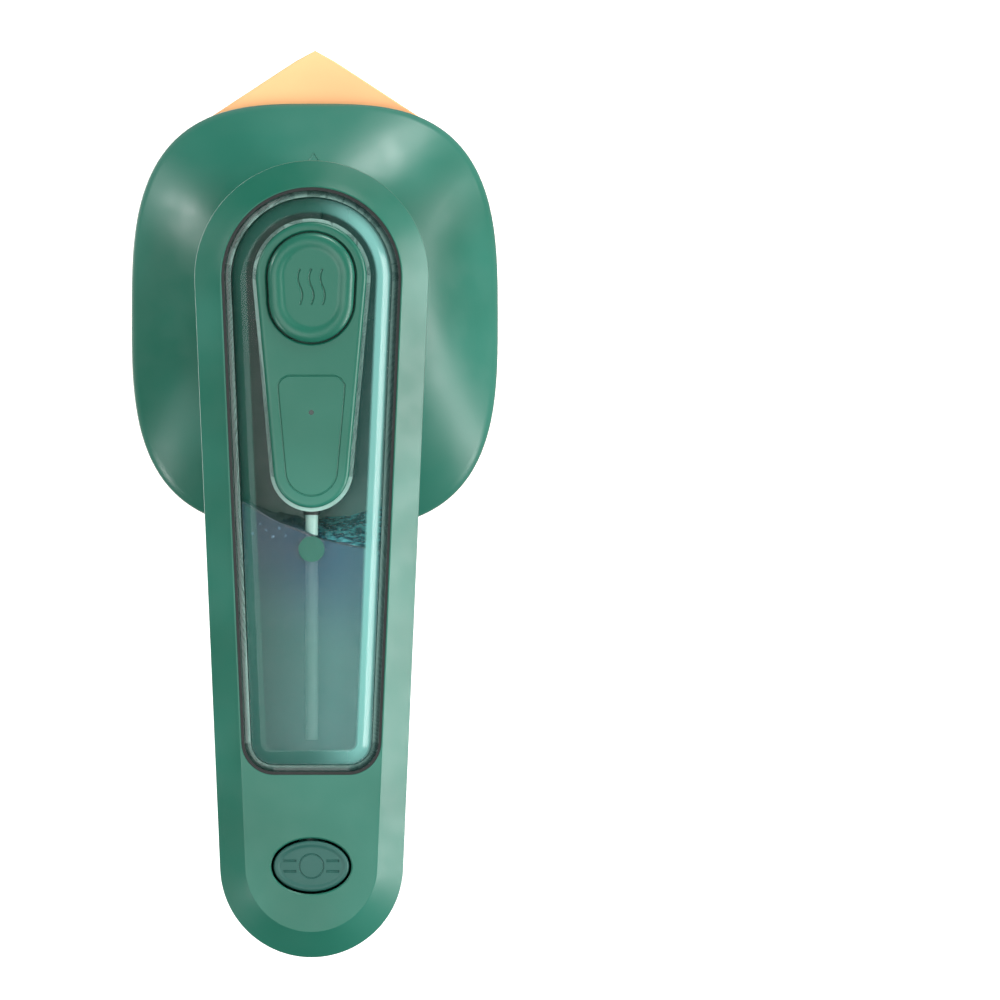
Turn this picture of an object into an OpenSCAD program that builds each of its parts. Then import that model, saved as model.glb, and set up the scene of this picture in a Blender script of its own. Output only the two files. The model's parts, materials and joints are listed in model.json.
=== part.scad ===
// Hand-held mini steamer iron: a tall handle with a water tank and a thumb pump,
// turning on a flat heated head. Sole at z = 0, tip towards +Y, handle towards -Y,
// origin where the swivel axis meets the sole plane. Millimetres.

/* [Head outline] */
// Width of the head cover
head_w = 89.5; // [84:0.5:96]
// Length of the head cover without the tip
head_l = 104; // [100:0.5:112]
// Squareness of the head outline, 2 is an ellipse
head_power = 3.08; // [2.8:0.02:3.6]
// Distance of the head centre behind the swivel axis
head_back = 8.6; // [7.5:0.1:9.5]
// Distance of the pointed tip ahead of the swivel axis
tip_reach = 56.8; // [54:0.1:60]
// Distance the soleplate edge stands inside the cover edge
sole_inset = 0.6; // [0.3:0.1:1.2]

/* [Soleplate] */
// Thickness of the ironing plate
sole_t = 3.2; // [2.8:0.1:4]
// Radius of the steam hole
steam_hole_r = 0.5; // [0.4:0.1:1.2]
// Radius of the shallow dish round the steam hole
dish_r = 4.65; // [3.5:0.05:6]
// Depth of the dish and the grooves
groove_depth = 0.5; // [0.3:0.1:0.8]
// Width of each groove
groove_w = 1.1; // [0.8:0.1:1.6]
// Width of the innermost groove loop
groove_loop_w = 39; // [34:0.5:42]
// Length of the innermost groove loop
groove_loop_l = 55; // [48:0.5:58]
// Corner radius of the innermost groove loop
groove_corner = 8; // [5:0.5:10]
// Step from one groove loop to the next
groove_step = 7; // [5:0.1:7.5]
// Number of groove loops
groove_loops = 3; // [1:1:3]

/* [Steam chamber] */
// Inner radius of the steam chamber
chamber_r = 13.5; // [12.5:0.1:14]
// Thickness of the chamber wall
chamber_wall = 2.5; // [2:0.1:2.8]
// Height of the chamber wall above the plate
chamber_h = 8; // [7.6:0.1:9]
// Thickness of the chamber seal
seal_t = 1; // [0.6:0.1:1.2]
// Thickness of the chamber lid
lid_t = 1.5; // [1.2:0.1:2]
// Radius of the small screws' shanks
screw_r = 1.15; // [0.9:0.05:1.25]
// Radius of the small screws' heads
screw_head_r = 2.1; // [1.8:0.05:2.2]
// Height of the small screws' heads
screw_head_h = 1.3; // [1:0.1:1.5]

/* [Heater] */
// Radius of the tubular heater
heater_r = 3.25; // [2.8:0.05:3.3]
// Radius of the heater's bend at its middle line
heater_bend_r = 25.6; // [25.4:0.1:26.5]
// Length of each straight heater leg
heater_leg = 31; // [28:0.5:32]
// Radius of the thermostat
thermostat_r = 6; // [5:0.1:6.5]
// Height of the thermostat can
thermostat_h = 5; // [4:0.1:6]
// Radius of the thermal fuse
fuse_r = 1.9; // [1.5:0.1:2]
// Thickness of the heat shield
shield_t = 0.5; // [0.4:0.1:0.8]

/* [Head cover] */
// Thickness of the dark insulating ring between plate and cover
gasket_t = 1; // [0.8:0.1:1.4]
// Height of the cover's upright rim
rim_h = 5.8; // [5:0.1:7]
// Rise of the cover from rim to neck
dome_h = 14.9; // [14:0.1:16]
// Fullness of the cover's slope, 1 is a straight cone
dome_power = 1.3; // [1.15:0.05:1.6]
// Wall of the cover
cover_wall = 2.2; // [1.8:0.1:2.5]
// Radius of the cover's flat crown
crown_r = 23; // [22:0.1:24]

/* [Swivel] */
// Outer radius of the neck tube
neck_r = 15.5; // [15:0.1:16]
// Wall of the neck tube
neck_wall = 2.6; // [2.4:0.1:3]
// Running clearance of the swivel on its radius
swivel_clear = 0.08; // [0.05:0.01:0.1]
// Gap between the head cover and the collar
swivel_gap = 0.3; // [0.2:0.05:0.6]
// Thickness of the collar's floor
collar_floor = 3; // [2.5:0.1:3.5]
// Thickness of the slip washer
washer_t = 0.8; // [0.5:0.1:1.2]
// Free play above and below the slip washer
washer_play = 0.1; // [0.05:0.05:0.2]
// Thickness of the retaining ring
ring_t = 2.5; // [2:0.1:3]
// Width of the retaining ring beyond the neck tube
ring_lip = 3.5; // [3:0.1:4]

/* [Handle outline] */
// Radius of the handle's head end
handle_r = 28.1; // [27.5:0.1:29]
// Radius of the handle's tail end
tail_r = 22; // [21:0.1:23]
// Distance from the swivel axis to the tail's centre
tail_y = 141.2; // [139:0.1:150]
// Clear height from the head's crown to the handle's back
back_clear = 11.1; // [10.8:0.1:13]
// Depth of the rear shell from its back to the seam
shell_depth = 23.4; // [23:0.1:25]
// How far the back of the rear shell draws in
shell_draw = 17; // [15:0.5:17.5]
// Extra rounding of the tail end towards the back
tail_draw = 4; // [2:0.5:6]
// Squareness of the rear shell's section
shell_power = 2.2; // [2:0.05:2.6]
// Wall of the rear shell and the front frame
shell_t = 2.2; // [1.8:0.1:2.4]
// Height of the frame's upright side strip
strip_h = 2.6; // [2:0.1:3.2]
// Rise of the frame's bevel
bevel_h = 3; // [2.6:0.1:3.6]
// Width of the frame's bevel
bevel_w = 6.4; // [6.2:0.1:6.8]

/* [Window and tank] */
// Distance from the swivel axis to the window's lower edge
window_len = 119.4; // [112:0.1:121]
// Corner radius at the window's lower edge
window_corner = 8; // [7:0.1:10]
// Width of the black gasket round the window
gasket_w = 0.8; // [0.6:0.1:1.2]
// Thickness of the clear window
window_t = 3; // [2.4:0.1:3.4]
// Depth of the window's face below the front
window_sink = 0.6; // [0.3:0.1:1]
// Thickness of the tank seal
tank_seal_t = 0.6; // [0.4:0.1:1]
// Wall of the water tank
tank_t = 1.5; // [1.2:0.1:1.8]
// Gap between the rear shell and the tank's floor
tank_gap = 5.8; // [5.6:0.1:6.6]

/* [Control island] */
// Radius of the island's head end
island_r = 13.3; // [13.2:0.1:13.8]
// Radius of the island's tail end
island_tail_r = 9.1; // [8.8:0.1:10]
// Distance from the swivel axis to the island's tail centre
island_y = 46.2; // [45:0.1:48]
// Height of the island above the window's face
island_h = 1.6; // [1.2:0.1:2.2]
// Overlap of the island on the window
island_lip = 0.6; // [0.4:0.1:0.7]
// Wall of the island's skirt
skirt_t = 1; // [0.8:0.1:1]
// Width of the panel marked on the island
panel_w = 16.4; // [15:0.1:16.8]
// Distance from the swivel axis to the panel's upper edge
panel_top = 23.6; // [22:0.1:26]
// Distance from the swivel axis to the panel's lower edge
panel_low = 52.4; // [50:0.1:53]
// Distance from the swivel axis to the status light
led_y = 32.4; // [30:0.1:35]
// Radius of the status light's pipe
led_r = 0.6; // [0.4:0.1:1.2]

/* [Steam button and pump] */
// Radius of the button's head end
button_r = 10.4; // [10:0.05:10.5]
// Radius of the button's tail end
button_tail_r = 10.1; // [9.8:0.05:10.2]
// Overall length of the button
button_l = 26.3; // [25:0.1:26.8]
// Distance of the button's middle behind the swivel axis
button_back = 2.5; // [2:0.1:3]
// Height of the button above the island
button_h = 1.6; // [1:0.1:2.4]
// Gap round the button
button_gap = 0.3; // [0.2:0.05:0.35]
// Travel of the button
button_travel = 3; // [2.7:0.1:3.2]
// Inner radius of the pump barrel
barrel_r = 5.2; // [4.8:0.1:5.4]
// Wall of the pump barrel
barrel_wall = 1.8; // [1.5:0.1:2]
// Length of the pump spring with the button pressed in
spring_pressed = 7.7; // [7.4:0.1:8]
// Running clearance of the piston on its radius
piston_clear = 0.06; // [0.04:0.01:0.1]
// Radius of the piston rod
rod_r = 2.4; // [2:0.1:2.6]
// Wire radius of the pump spring
spring_wire_r = 0.35; // [0.3:0.05:0.45]
// Number of turns of the pump spring
spring_turns = 6; // [4:1:7]
// Outer radius of the suction tube
tube_r = 1.5; // [1.3:0.05:1.6]
// Bore radius of the suction tube
tube_bore_r = 0.9; // [0.7:0.05:1]
// Distance from the swivel axis to the suction tube's open end
tube_end = 111; // [104:0.5:113]
// Distance from the swivel axis to the tube clip
clip_y = 65.2; // [62:0.1:75]
// Radius of the tube clip
clip_r = 3.1; // [2.6:0.1:3.6]
// Outer radius of the delivery hose
hose_r = 2.3; // [2.1:0.05:2.5]
// Bore radius of the delivery hose
hose_bore_r = 1.5; // [1.3:0.05:1.6]

/* [Filler and power inlet] */
// Length of the filler plug across the handle
plug_l = 18.1; // [17:0.1:19]
// Width of the filler plug along the handle
plug_w = 12.2; // [11:0.1:12.6]
// Thickness of the filler plug's cap
plug_t = 1.7; // [1.4:0.1:1.8]
// Gap round the filler plug's cap
plug_gap = 0.6; // [0.4:0.1:0.8]
// Length of the filler throat across the handle
throat_l = 12.6; // [11:0.1:13]
// Width of the filler throat along the handle
throat_w = 7.6; // [7:0.1:8]
// Wall of the filler neck
throat_wall = 1.4; // [1.2:0.1:1.6]
// Depth of the filler neck below the plug's cap
throat_h = 12; // [11:0.1:12]
// Length of the plug's stem
stem_l = 5; // [4:0.1:5.5]
// Distance from the swivel axis to the power inlet
inlet_y = 126.6; // [124:0.1:130]
// Radius of the power inlet's mouth
inlet_r = 4.15; // [3.5:0.05:4.4]
// Depth of the power inlet's mouth
inlet_depth = 4; // [3:0.1:4.5]

/* [Hidden] */
$fn = 64;

eps = 0.01;
fit = 0.05;              // slack between pieces fixed to each other
part_gap = 0.3;          // gap between pieces that move past each other
arc_n = 22;              // steps along each half of a handle outline
head_n = 72;             // points round the head outline
green = "#2A6A5C";
copper = "#EEBA8A";

// Heights, from the sole upwards
z_plate = sole_t;
z_rim = z_plate + gasket_t;
z_shoulder = z_rim + rim_h;
z_crown = z_shoulder + dome_h;
z_collar = z_crown + swivel_gap;
z_collar_top = z_collar + collar_floor;
z_washer = z_collar_top + washer_play;
z_ring = z_washer + washer_t + washer_play;
z_back = z_crown + back_clear;
z_inside = z_back + shell_t;
z_tank = z_inside + tank_gap;
z_seam = z_back + shell_depth;
z_edge = z_seam + strip_h;
z_front = z_edge + bevel_h;
z_window = z_front - window_sink;
z_window_low = z_window - window_t;
z_tank_top = z_window_low - tank_seal_t;
z_island = z_window + island_h;

// Head values
head_c = [0, -head_back];
chamber_out_r = chamber_r + chamber_wall;
lid_screw_ring = chamber_out_r + screw_r + 1.5;
lid_boss_r = screw_r + 1.9;
seal_out_r = lid_screw_ring - lid_boss_r - 0.1;
lid_r = lid_screw_ring + screw_head_r + 0.2;
z_lid = z_plate + chamber_h + seal_t;
z_lid_top = z_lid + lid_t;
z_cover_floor = z_crown - 4.9;
cover_floor_t = 2;
cover_post_ring = neck_r - neck_wall - screw_head_r - 0.6;
cover_post_r = screw_r + 1.4;
heater_z = z_plate + heater_r + 0.3;
heater_side = 1;         // width of the cast ridge beside the heater
clip_t = 0.6;            // strip thickness of the heater clips
z_shield = heater_z + heater_r + clip_t + 0.4;
shield_x = 14;
shield_front = 27;
shield_rear = -head_back - 31.4;
thermostat_y = -head_back - 30;
fuse_y = thermostat_y - thermostat_r - fuse_r - 2;
fuse_l = 10;
ring_r = neck_r + ring_lip;
thin_screw_r = 0.7;      // small fasteners of the ring, the board and the frame
thin_head_r = 1.4;
neck_screw_ring = neck_r - neck_wall + thin_screw_r + 0.25;
oring_r = 0.58;          // section radius of the friction ring
oring_groove = 0.65;
sleeve_r = hose_r + 2.7;
z_sleeve = z_lid_top + 3.2;
z_sleeve_top = z_ring + ring_t + screw_head_h + 0.5;
nipple_r = hose_bore_r - fit;

// Handle values
handle_lean = asin((handle_r - tail_r) / tail_y);
collar_top_h = 18.3;     // height of the collar's wall
z_collar_wall = z_collar + collar_top_h;
collar_low_r = 22.6;
well_in = island_lip;    // the tank's well lies this far inside the island's edge
pump_flange_t = 1.6;
z_pump = z_tank - pump_flange_t - 2;
z_barrel_floor = z_pump + 1.6;
piston_t = 3;
z_barrel_top = z_barrel_floor + spring_pressed + button_travel + piston_t + part_gap;
cap_t = 1.6;
z_inlet = z_tank + tank_t + tube_r;
tube_wall_gap = 0.6;     // grommet's rubber round the tube
z_tube = z_tank_top - tube_r - tube_wall_gap - 0.6;      // height of the stretch under the window
tube_bend_r = 4;
tube_drop_y = island_y + island_tail_r - well_in - 7.2;
pump_screw_ring = island_r - well_in + tank_t + 1.4;
z_hose_top = z_pump - 0.4;
z_piston = z_barrel_top - piston_t - part_gap;
z_button_flange = z_window - 0.4 - part_gap - 1;
z_button = z_island + button_h;
z_pcb = z_window_low - 3.4;
pcb_t = 1.2;
pcb_w = 11;
pcb_l = 23;
pcb_y = -panel_top - 7.4;
pcb_screw_y = 9;         // half distance between the board's screws
plug_c = [0, -tail_y];
z_plug = z_front - plug_t + 0.3;
z_throat = z_plug - throat_h;
port_r = 2.4;
z_port = z_throat + throat_wall + port_r + 0.2;
tank_end = -window_len + gasket_w;
jack_r = 5.6;
jack_h = 12;
shell_screw_y = [-62, -98];
post_h = 1.6;            // height of the rear shell's screw posts
tail_screw_y = -tail_y - 11.6;
frame_screw_y = [-18, -104];
frame_screw_in = 4.6;    // distance of the frame screws inside the handle's outline

// ---- outlines and helpers ----

function arc(c, r, a0, a1, n) =
    [for (i = [0:n]) c + r * [cos(a0 + (a1 - a0) * i / n), sin(a0 + (a1 - a0) * i / n)]];

// Two round ends, the larger at y1, joined by straight tangents
function taper(r1, y1, r2, y2, n = arc_n) =
    let (lean = asin((r1 - r2) / (y1 - y2)))
    concat(arc([0, y1], r1, -lean, 180 + lean, n), arc([0, y2], r2, 180 + lean, 360 - lean, n));

function oval(w, l, n = 48) = [for (i = [0:n - 1]) [w / 2 * cos(i * 360 / n), l / 2 * sin(i * 360 / n)]];

// Rounded rectangle round the origin
function rounded(w, l, r, n = 8) =
    let (x = w / 2 - r, y = l / 2 - r)
    concat(arc([x, y], r, 0, 90, n), arc([-x, y], r, 90, 180, n),
        arc([-x, -y], r, 180, 270, n), arc([x, -y], r, 270, 360, n));

function signed_power(v, p) = sign(v) * pow(abs(v), p);

// Head outline, drawn in by a distance on every side
function head_outline(inset = 0) =
    [for (i = [0:head_n - 1]) let (a = i * 360 / head_n)
        head_c + [(head_w / 2 - inset) * signed_power(cos(a), 2 / head_power),
            (head_l / 2 - inset) * signed_power(sin(a), 2 / head_power)]];

// Soleplate outline: the head outline with straight edges drawn to the tip
function sole_outline(inset) =
    let (ring = head_outline(inset),
        front = [for (p = ring) if (p.x > 1 && p.y > -head_back) p],
        slope = min([for (p = front) (tip_reach - p.y) / p.x]),
        touch = min([for (p = front) if ((tip_reach - p.y) / p.x <= slope + eps) p.x]),
        right = [for (i = [0:head_n / 4]) if (ring[i].x >= touch) ring[i]],
        rest = [for (i = [head_n / 4 + 1:head_n - 1])
            if (ring[i].x <= -touch || ring[i].y < -head_back) ring[i]])
    concat(right, [[0, tip_reach]], rest);

function crown_outline(r) = [for (i = [0:head_n - 1]) r * [cos(i * 360 / head_n), sin(i * 360 / head_n)]];

function blend(a, b, t) = [for (i = [0:len(a) - 1]) a[i] * (1 - t) + b[i] * t];

function handle_outline(inset) = taper(handle_r - inset, 0, tail_r - inset, -tail_y);

function window_outline(inset) =
    let (r1 = handle_r - bevel_w - inset, r2 = window_corner - inset,
        cy = -window_len + window_corner,
        cx = (r1 - r2 + cy * sin(handle_lean)) / cos(handle_lean))
    concat(arc([0, 0], r1, -handle_lean, 180 + handle_lean, 32),
        arc([-cx, cy], r2, 180 + handle_lean, 270, 6),
        arc([cx, cy], r2, 270, 360 - handle_lean, 6));

function island_outline(inset) = taper(island_r - inset, 0, island_tail_r - inset, -island_y);

function button_outline(inset) =
    taper(button_r - inset, -button_back + button_l / 2 - button_r,
        button_tail_r - inset, -button_back - button_l / 2 + button_tail_r);

function lift(points, z) = [for (p = points) [p.x, p.y, z]];

// Half-width of the handle's outline at a distance y along it
function handle_half(y) = handle_r / cos(handle_lean) + y * tan(handle_lean);

module prism(points, z0, z1) {
    translate([0, 0, z0])
        linear_extrude(z1 - z0)
            polygon(points);
}

module ring_prism(outer, inner, z0, z1) {
    difference() {
        prism(outer, z0, z1);
        prism(inner, z0 - 1, z1 + 1);
    }
}

// Solid through a stack of rings that have as many points each
module loft(rings) {
    n = len(rings[0]);
    m = len(rings);
    sides = [for (j = [0:m - 2]) for (i = [0:n - 1])
        [j * n + i, (j + 1) * n + i, (j + 1) * n + (i + 1) % n, j * n + (i + 1) % n]];
    low = [for (i = [0:n - 1]) i];
    high = [for (i = [n - 1:-1:0]) (m - 1) * n + i];
    polyhedron([for (r = rings) each r], concat([low], sides, [high]));
}

function unit(v) = v / norm(v);

// Round wire along a path; side is never parallel to the path
module wire(path, r, side, n = 8) {
    m = len(path);
    rings = [for (i = [0:m - 1])
        let (t = unit(path[min(i + 1, m - 1)] - path[max(i - 1, 0)]),
            u = unit(cross(t, side)), v = cross(t, u))
        [for (k = [0:n - 1]) path[i] + r * (cos(k * 360 / n) * u + sin(k * 360 / n) * v)]];
    loft(rings);
}

module at_polar(r, angles) {
    for (a = angles)
        rotate([0, 0, a])
            translate([r, 0, 0])
                children();
}

module tube(r_out, r_in, z0, z1) {
    translate([0, 0, z0])
        difference() {
            cylinder(h = z1 - z0, r = r_out);
            translate([0, 0, -1])
                cylinder(h = z1 - z0 + 2, r = r_in);
        }
}

// Screw with its head's underside at the origin, shank down, driver recess on top
module screw(length, r = screw_r, head_r = screw_head_r, head_h = screw_head_h) {
    translate([0, 0, -length])
        cylinder(h = length + eps, r = r);
    difference() {
        cylinder(h = head_h, r = head_r);
        for (a = [0, 90])
            rotate([0, 0, a])
                translate([-head_r * 0.65, -0.25, head_h * 0.5])
                    cube([head_r * 1.3, 0.5, head_h]);
    }
}

// ---- head ----

lid_screw_angles = [45, 135, 225, 315];
cover_post_angles = [90, 210, 330];
shield_posts = [for (x = [-shield_x, shield_x]) for (y = [shield_rear, shield_front]) [x, y]];

// The heater's path as a solid of round section
module heater_path(r) {
    translate([0, -head_back, heater_z]) {
        rotate_extrude(angle = 180)
            translate([heater_bend_r, 0])
                circle(r);
        for (x = [-heater_bend_r, heater_bend_r])
            translate([x, 0, 0])
                rotate([90, 0, 0])
                    cylinder(h = heater_leg, r = r);
    }
}

// Cast ridge that carries the heater
module heater_ridge() {
    half = heater_r + heater_side;
    ridge_h = heater_z - z_plate + 1;
    translate([0, -head_back, z_plate - 1]) {
        rotate_extrude(angle = 180)
            translate([heater_bend_r - half, 0])
                square([2 * half, ridge_h]);
        for (x = [-heater_bend_r, heater_bend_r])
            translate([x - half, -heater_leg, 0])
                cube([2 * half, heater_leg, ridge_h]);
    }
}

module groove_cut(i) {
    w = groove_loop_w + 2 * i * groove_step;
    l = groove_loop_l + 2 * i * groove_step;
    r = groove_corner + i * groove_step;
    translate([0, -head_back, 0])
        ring_prism(rounded(w, l, r), rounded(w - 2 * groove_w, l - 2 * groove_w, r - groove_w),
            -1, groove_depth);
}

module soleplate() {
    color(copper)
    difference() {
        union() {
            prism(sole_outline(sole_inset), 0, z_plate);
            translate([0, -head_back, z_plate - 1])
                cylinder(h = chamber_h + 1, r = chamber_out_r);
            translate([0, -head_back, z_plate - 1])
                at_polar(lid_screw_ring, lid_screw_angles)
                    cylinder(h = chamber_h + seal_t + 1, r = lid_boss_r);
            for (p = shield_posts)
                translate([p.x, p.y, z_plate - 1])
                    cylinder(h = z_shield - z_plate + 1, r = screw_r + 1.3);
            heater_ridge();
        }
        heater_path(heater_r + fit);
        translate([0, -head_back, z_plate])
            cylinder(h = chamber_h + 2, r = chamber_r);
        translate([0, -head_back, -1])
            cylinder(h = sole_t + 2, r = steam_hole_r);
        translate([0, -head_back, -1])
            cylinder(h = 1 + groove_depth, r = dish_r);
        for (i = [0:groove_loops - 1])
            groove_cut(i);
        translate([0, -head_back, z_plate + 1])
            at_polar(lid_screw_ring, lid_screw_angles)
                cylinder(h = chamber_h + seal_t, r = screw_r + fit);
        for (p = shield_posts)
            translate([p.x, p.y, z_plate + 1])
                cylinder(h = z_shield, r = screw_r + fit);
    }
}

module sole_gasket() {
    color("#15201D")
    ring_prism(head_outline(sole_inset + 0.9), head_outline(sole_inset + 4.5), z_plate, z_rim);
}

module chamber_seal() {
    color("#B8452F")
    translate([0, -head_back, 0])
        tube(seal_out_r, chamber_r + 0.1, z_plate + chamber_h, z_lid);
}

module chamber_lid() {
    color("silver")
    difference() {
        union() {
            translate([0, -head_back, z_lid])
                cylinder(h = lid_t, r = lid_r);
            translate([0, 0, z_lid_top - eps])
                at_polar(cover_post_ring, cover_post_angles)
                    cylinder(h = z_cover_floor - z_lid_top + eps, r = cover_post_r);
            translate([0, 0, z_lid_top - eps])
                cylinder(h = 4, r = nipple_r);
        }
        translate([0, 0, z_lid - 1])
            cylinder(h = lid_t + 8, r = nipple_r - 0.6);
        translate([0, -head_back, z_lid - 1])
            at_polar(lid_screw_ring, lid_screw_angles)
                cylinder(h = lid_t + 2, r = screw_r + fit);
        translate([0, 0, z_lid_top + 0.5])
            at_polar(cover_post_ring, cover_post_angles)
                cylinder(h = z_cover_floor, r = screw_r + fit);
    }
}

module lid_screws() {
    color("gainsboro")
    translate([0, -head_back, z_lid_top])
        at_polar(lid_screw_ring, lid_screw_angles)
            screw(lid_t + 5);
}

module heater_element() {
    color("#8C8F93") {
        heater_path(heater_r);
        for (x = [-heater_bend_r, heater_bend_r])
            translate([x, -head_back - heater_leg + eps, heater_z])
                rotate([90, 0, 0])
                    cylinder(h = 3.5, r = 1.1);
    }
}

// Saddle over the tube, lying along +Y
module heater_clip() {
    w = 5;
    foot = heater_r + heater_side + 0.2;
    rotate([90, 0, 0])
        difference() {
            union() {
                translate([0, 0, -w / 2])
                    cylinder(h = w, r = heater_r + clip_t + fit);
                translate([-foot, 0, -w / 2])
                    cube([2 * foot, clip_t, w]);
            }
            translate([0, 0, -w])
                cylinder(h = 2 * w, r = heater_r + fit);
            translate([-2 * foot, -2 * foot, -w])
                cube([4 * foot, 2 * foot, 2 * w]);
        }
}

module heater_clips() {
    color("#D9D9DC")
    difference() {
        union() {
            for (x = [-heater_bend_r, heater_bend_r])
                translate([x, -head_back - heater_leg * 0.6, heater_z])
                    heater_clip();
            translate([0, -head_back + heater_bend_r, heater_z])
                rotate([0, 0, 90])
                    heater_clip();
        }
        heater_path(heater_r + fit);
    }
}

module thermostat() {
    color("#D8CFC0")
    translate([0, thermostat_y, z_plate]) {
        cylinder(h = thermostat_h * 0.3, r = thermostat_r + 0.8);
        cylinder(h = thermostat_h, r = thermostat_r);
        for (x = [-3.6, 3.6])
            translate([x - 0.4, -1.5, thermostat_h - eps])
                cube([0.8, 3, 1.6]);
    }
}

module thermal_fuse() {
    color("#C9A94C")
    translate([-fuse_l / 2, fuse_y, z_plate + fuse_r])
        rotate([0, 90, 0]) {
            cylinder(h = fuse_l, r = fuse_r);
            translate([0, 0, -2])
                cylinder(h = fuse_l + 4, r = 0.5);
        }
}

module heat_shield() {
    color("#C8C4B8")
    difference() {
        intersection() {
            prism(head_outline(10.5), z_shield, z_shield + shield_t);
            translate([-head_w, shield_rear - 3, 0])
                cube([2 * head_w, head_l, 2 * z_shield]);
        }
        translate([0, -head_back, z_shield - 1])
            cylinder(h = shield_t + 2, r = lid_r + 0.6);
        translate([0, thermostat_y, z_shield - 1])
            cylinder(h = shield_t + 2, r = thermostat_r + 3.4);
        for (p = shield_posts)
            translate([p.x, p.y, z_shield - 1])
                cylinder(h = shield_t + 2, r = screw_r + fit);
    }
}

module shield_screws() {
    color("gainsboro")
    for (p = shield_posts)
        translate([p.x, p.y, z_shield + shield_t])
            screw(shield_t + 4);
}

// Stack of rings from the rim to the crown, drawn in by the wall on the inside
function cover_rings(inset, low, drop) =
    let (edge = head_outline(inset), crown = crown_outline(crown_r - inset))
    concat([lift(edge, low), lift(edge, z_shoulder - drop)],
        [for (t = [0.03, 0.1, 0.22, 0.4, 0.6, 0.8, 1])
            lift(blend(edge, crown, t),
                z_shoulder - drop + dome_h * (1 - pow(1 - t, dome_power)))]);

module head_cover() {
    color(green)
    difference() {
        union() {
            difference() {
                loft(cover_rings(0, z_rim, 0));
                loft(cover_rings(cover_wall, z_rim - 1, cover_wall));
            }
            translate([0, 0, z_cover_floor])
                cylinder(h = z_ring - z_cover_floor, r = neck_r);
        }
        translate([0, 0, z_cover_floor + cover_floor_t])
            cylinder(h = z_ring, r = neck_r - neck_wall);
        translate([0, 0, z_cover_floor - 1])
            cylinder(h = 10, r = sleeve_r + 0.5);
        translate([0, 0, z_cover_floor - 1])
            at_polar(cover_post_ring, cover_post_angles)
                cylinder(h = 10, r = screw_r + fit);
        translate([0, 0, z_ring - 6])
            at_polar(neck_screw_ring, cover_post_angles)
                cylinder(h = 8, r = thin_screw_r + fit);
        translate([0, 0, z_collar + collar_floor / 2 - oring_r - fit])
            rotate_extrude()
                translate([neck_r - oring_groove, 0])
                    square([2, 2 * oring_r + 2 * fit]);
        // alignment mark ahead of the handle
        translate([0, handle_r + 1.7, 0])
            for (s = [-1, 1])
                rotate([0, 0, s * 50])
                    translate([-0.15, -1.7, z_shoulder])
                        cube([0.3, 1.7, dome_h]);
    }
}

module cover_screws() {
    color("gainsboro")
    translate([0, 0, z_cover_floor + cover_floor_t])
        at_polar(cover_post_ring, cover_post_angles)
            screw(cover_floor_t + 5);
}

module friction_ring() {
    color("#202020")
    translate([0, 0, z_collar + collar_floor / 2])
        rotate_extrude()
            translate([neck_r - 0.05, 0])
                intersection() {
                    circle(oring_r);
                    translate([-oring_r, -oring_r])
                        square([oring_r + 0.1, 2 * oring_r]);
                }
}

module slip_washer() {
    color("#EFEFEA")
    tube(ring_r - 0.4, neck_r + swivel_clear, z_washer, z_washer + washer_t);
}

module retaining_ring() {
    color("#C7C9CC")
    difference() {
        tube(ring_r, neck_r - neck_wall, z_ring, z_ring + ring_t);
        translate([0, 0, z_ring - 1])
            at_polar(neck_screw_ring, cover_post_angles)
                cylinder(h = ring_t + 2, r = thin_screw_r + fit);
    }
}

module ring_screws() {
    color("gainsboro")
    translate([0, 0, z_ring + ring_t])
        at_polar(neck_screw_ring, cover_post_angles)
            screw(ring_t + 4.5, thin_screw_r, thin_head_r);
}

module water_hose() {
    color("#D7E5DE")
    tube(hose_r, hose_bore_r, z_lid_top + 0.4, z_hose_top);
}

module lead_sleeve() {
    color("#E7E2D2")
    tube(sleeve_r, sleeve_bore_r, z_sleeve, z_sleeve_top);
}

lead_r = 0.8;
heater_end = [heater_bend_r, -head_back - heater_leg - 3.5 - lead_r, heater_z];

sleeve_bore_r = hose_r + 0.5;
sleeve_end = (sleeve_bore_r + sleeve_r) / 2;

// Last stretch of a lead, up into the sleeve on one side of the hose
function into_sleeve(s) = [[s * (sleeve_end + 0.4), -4, z_sleeve - 2.1], [s * sleeve_end, -1.2, z_sleeve - 1.9],
    [s * sleeve_end, -0.2, z_sleeve - 1.2], [s * sleeve_end, 0, z_sleeve - 0.6],
    [s * sleeve_end, 0, z_sleeve - 0.05]];

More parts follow.
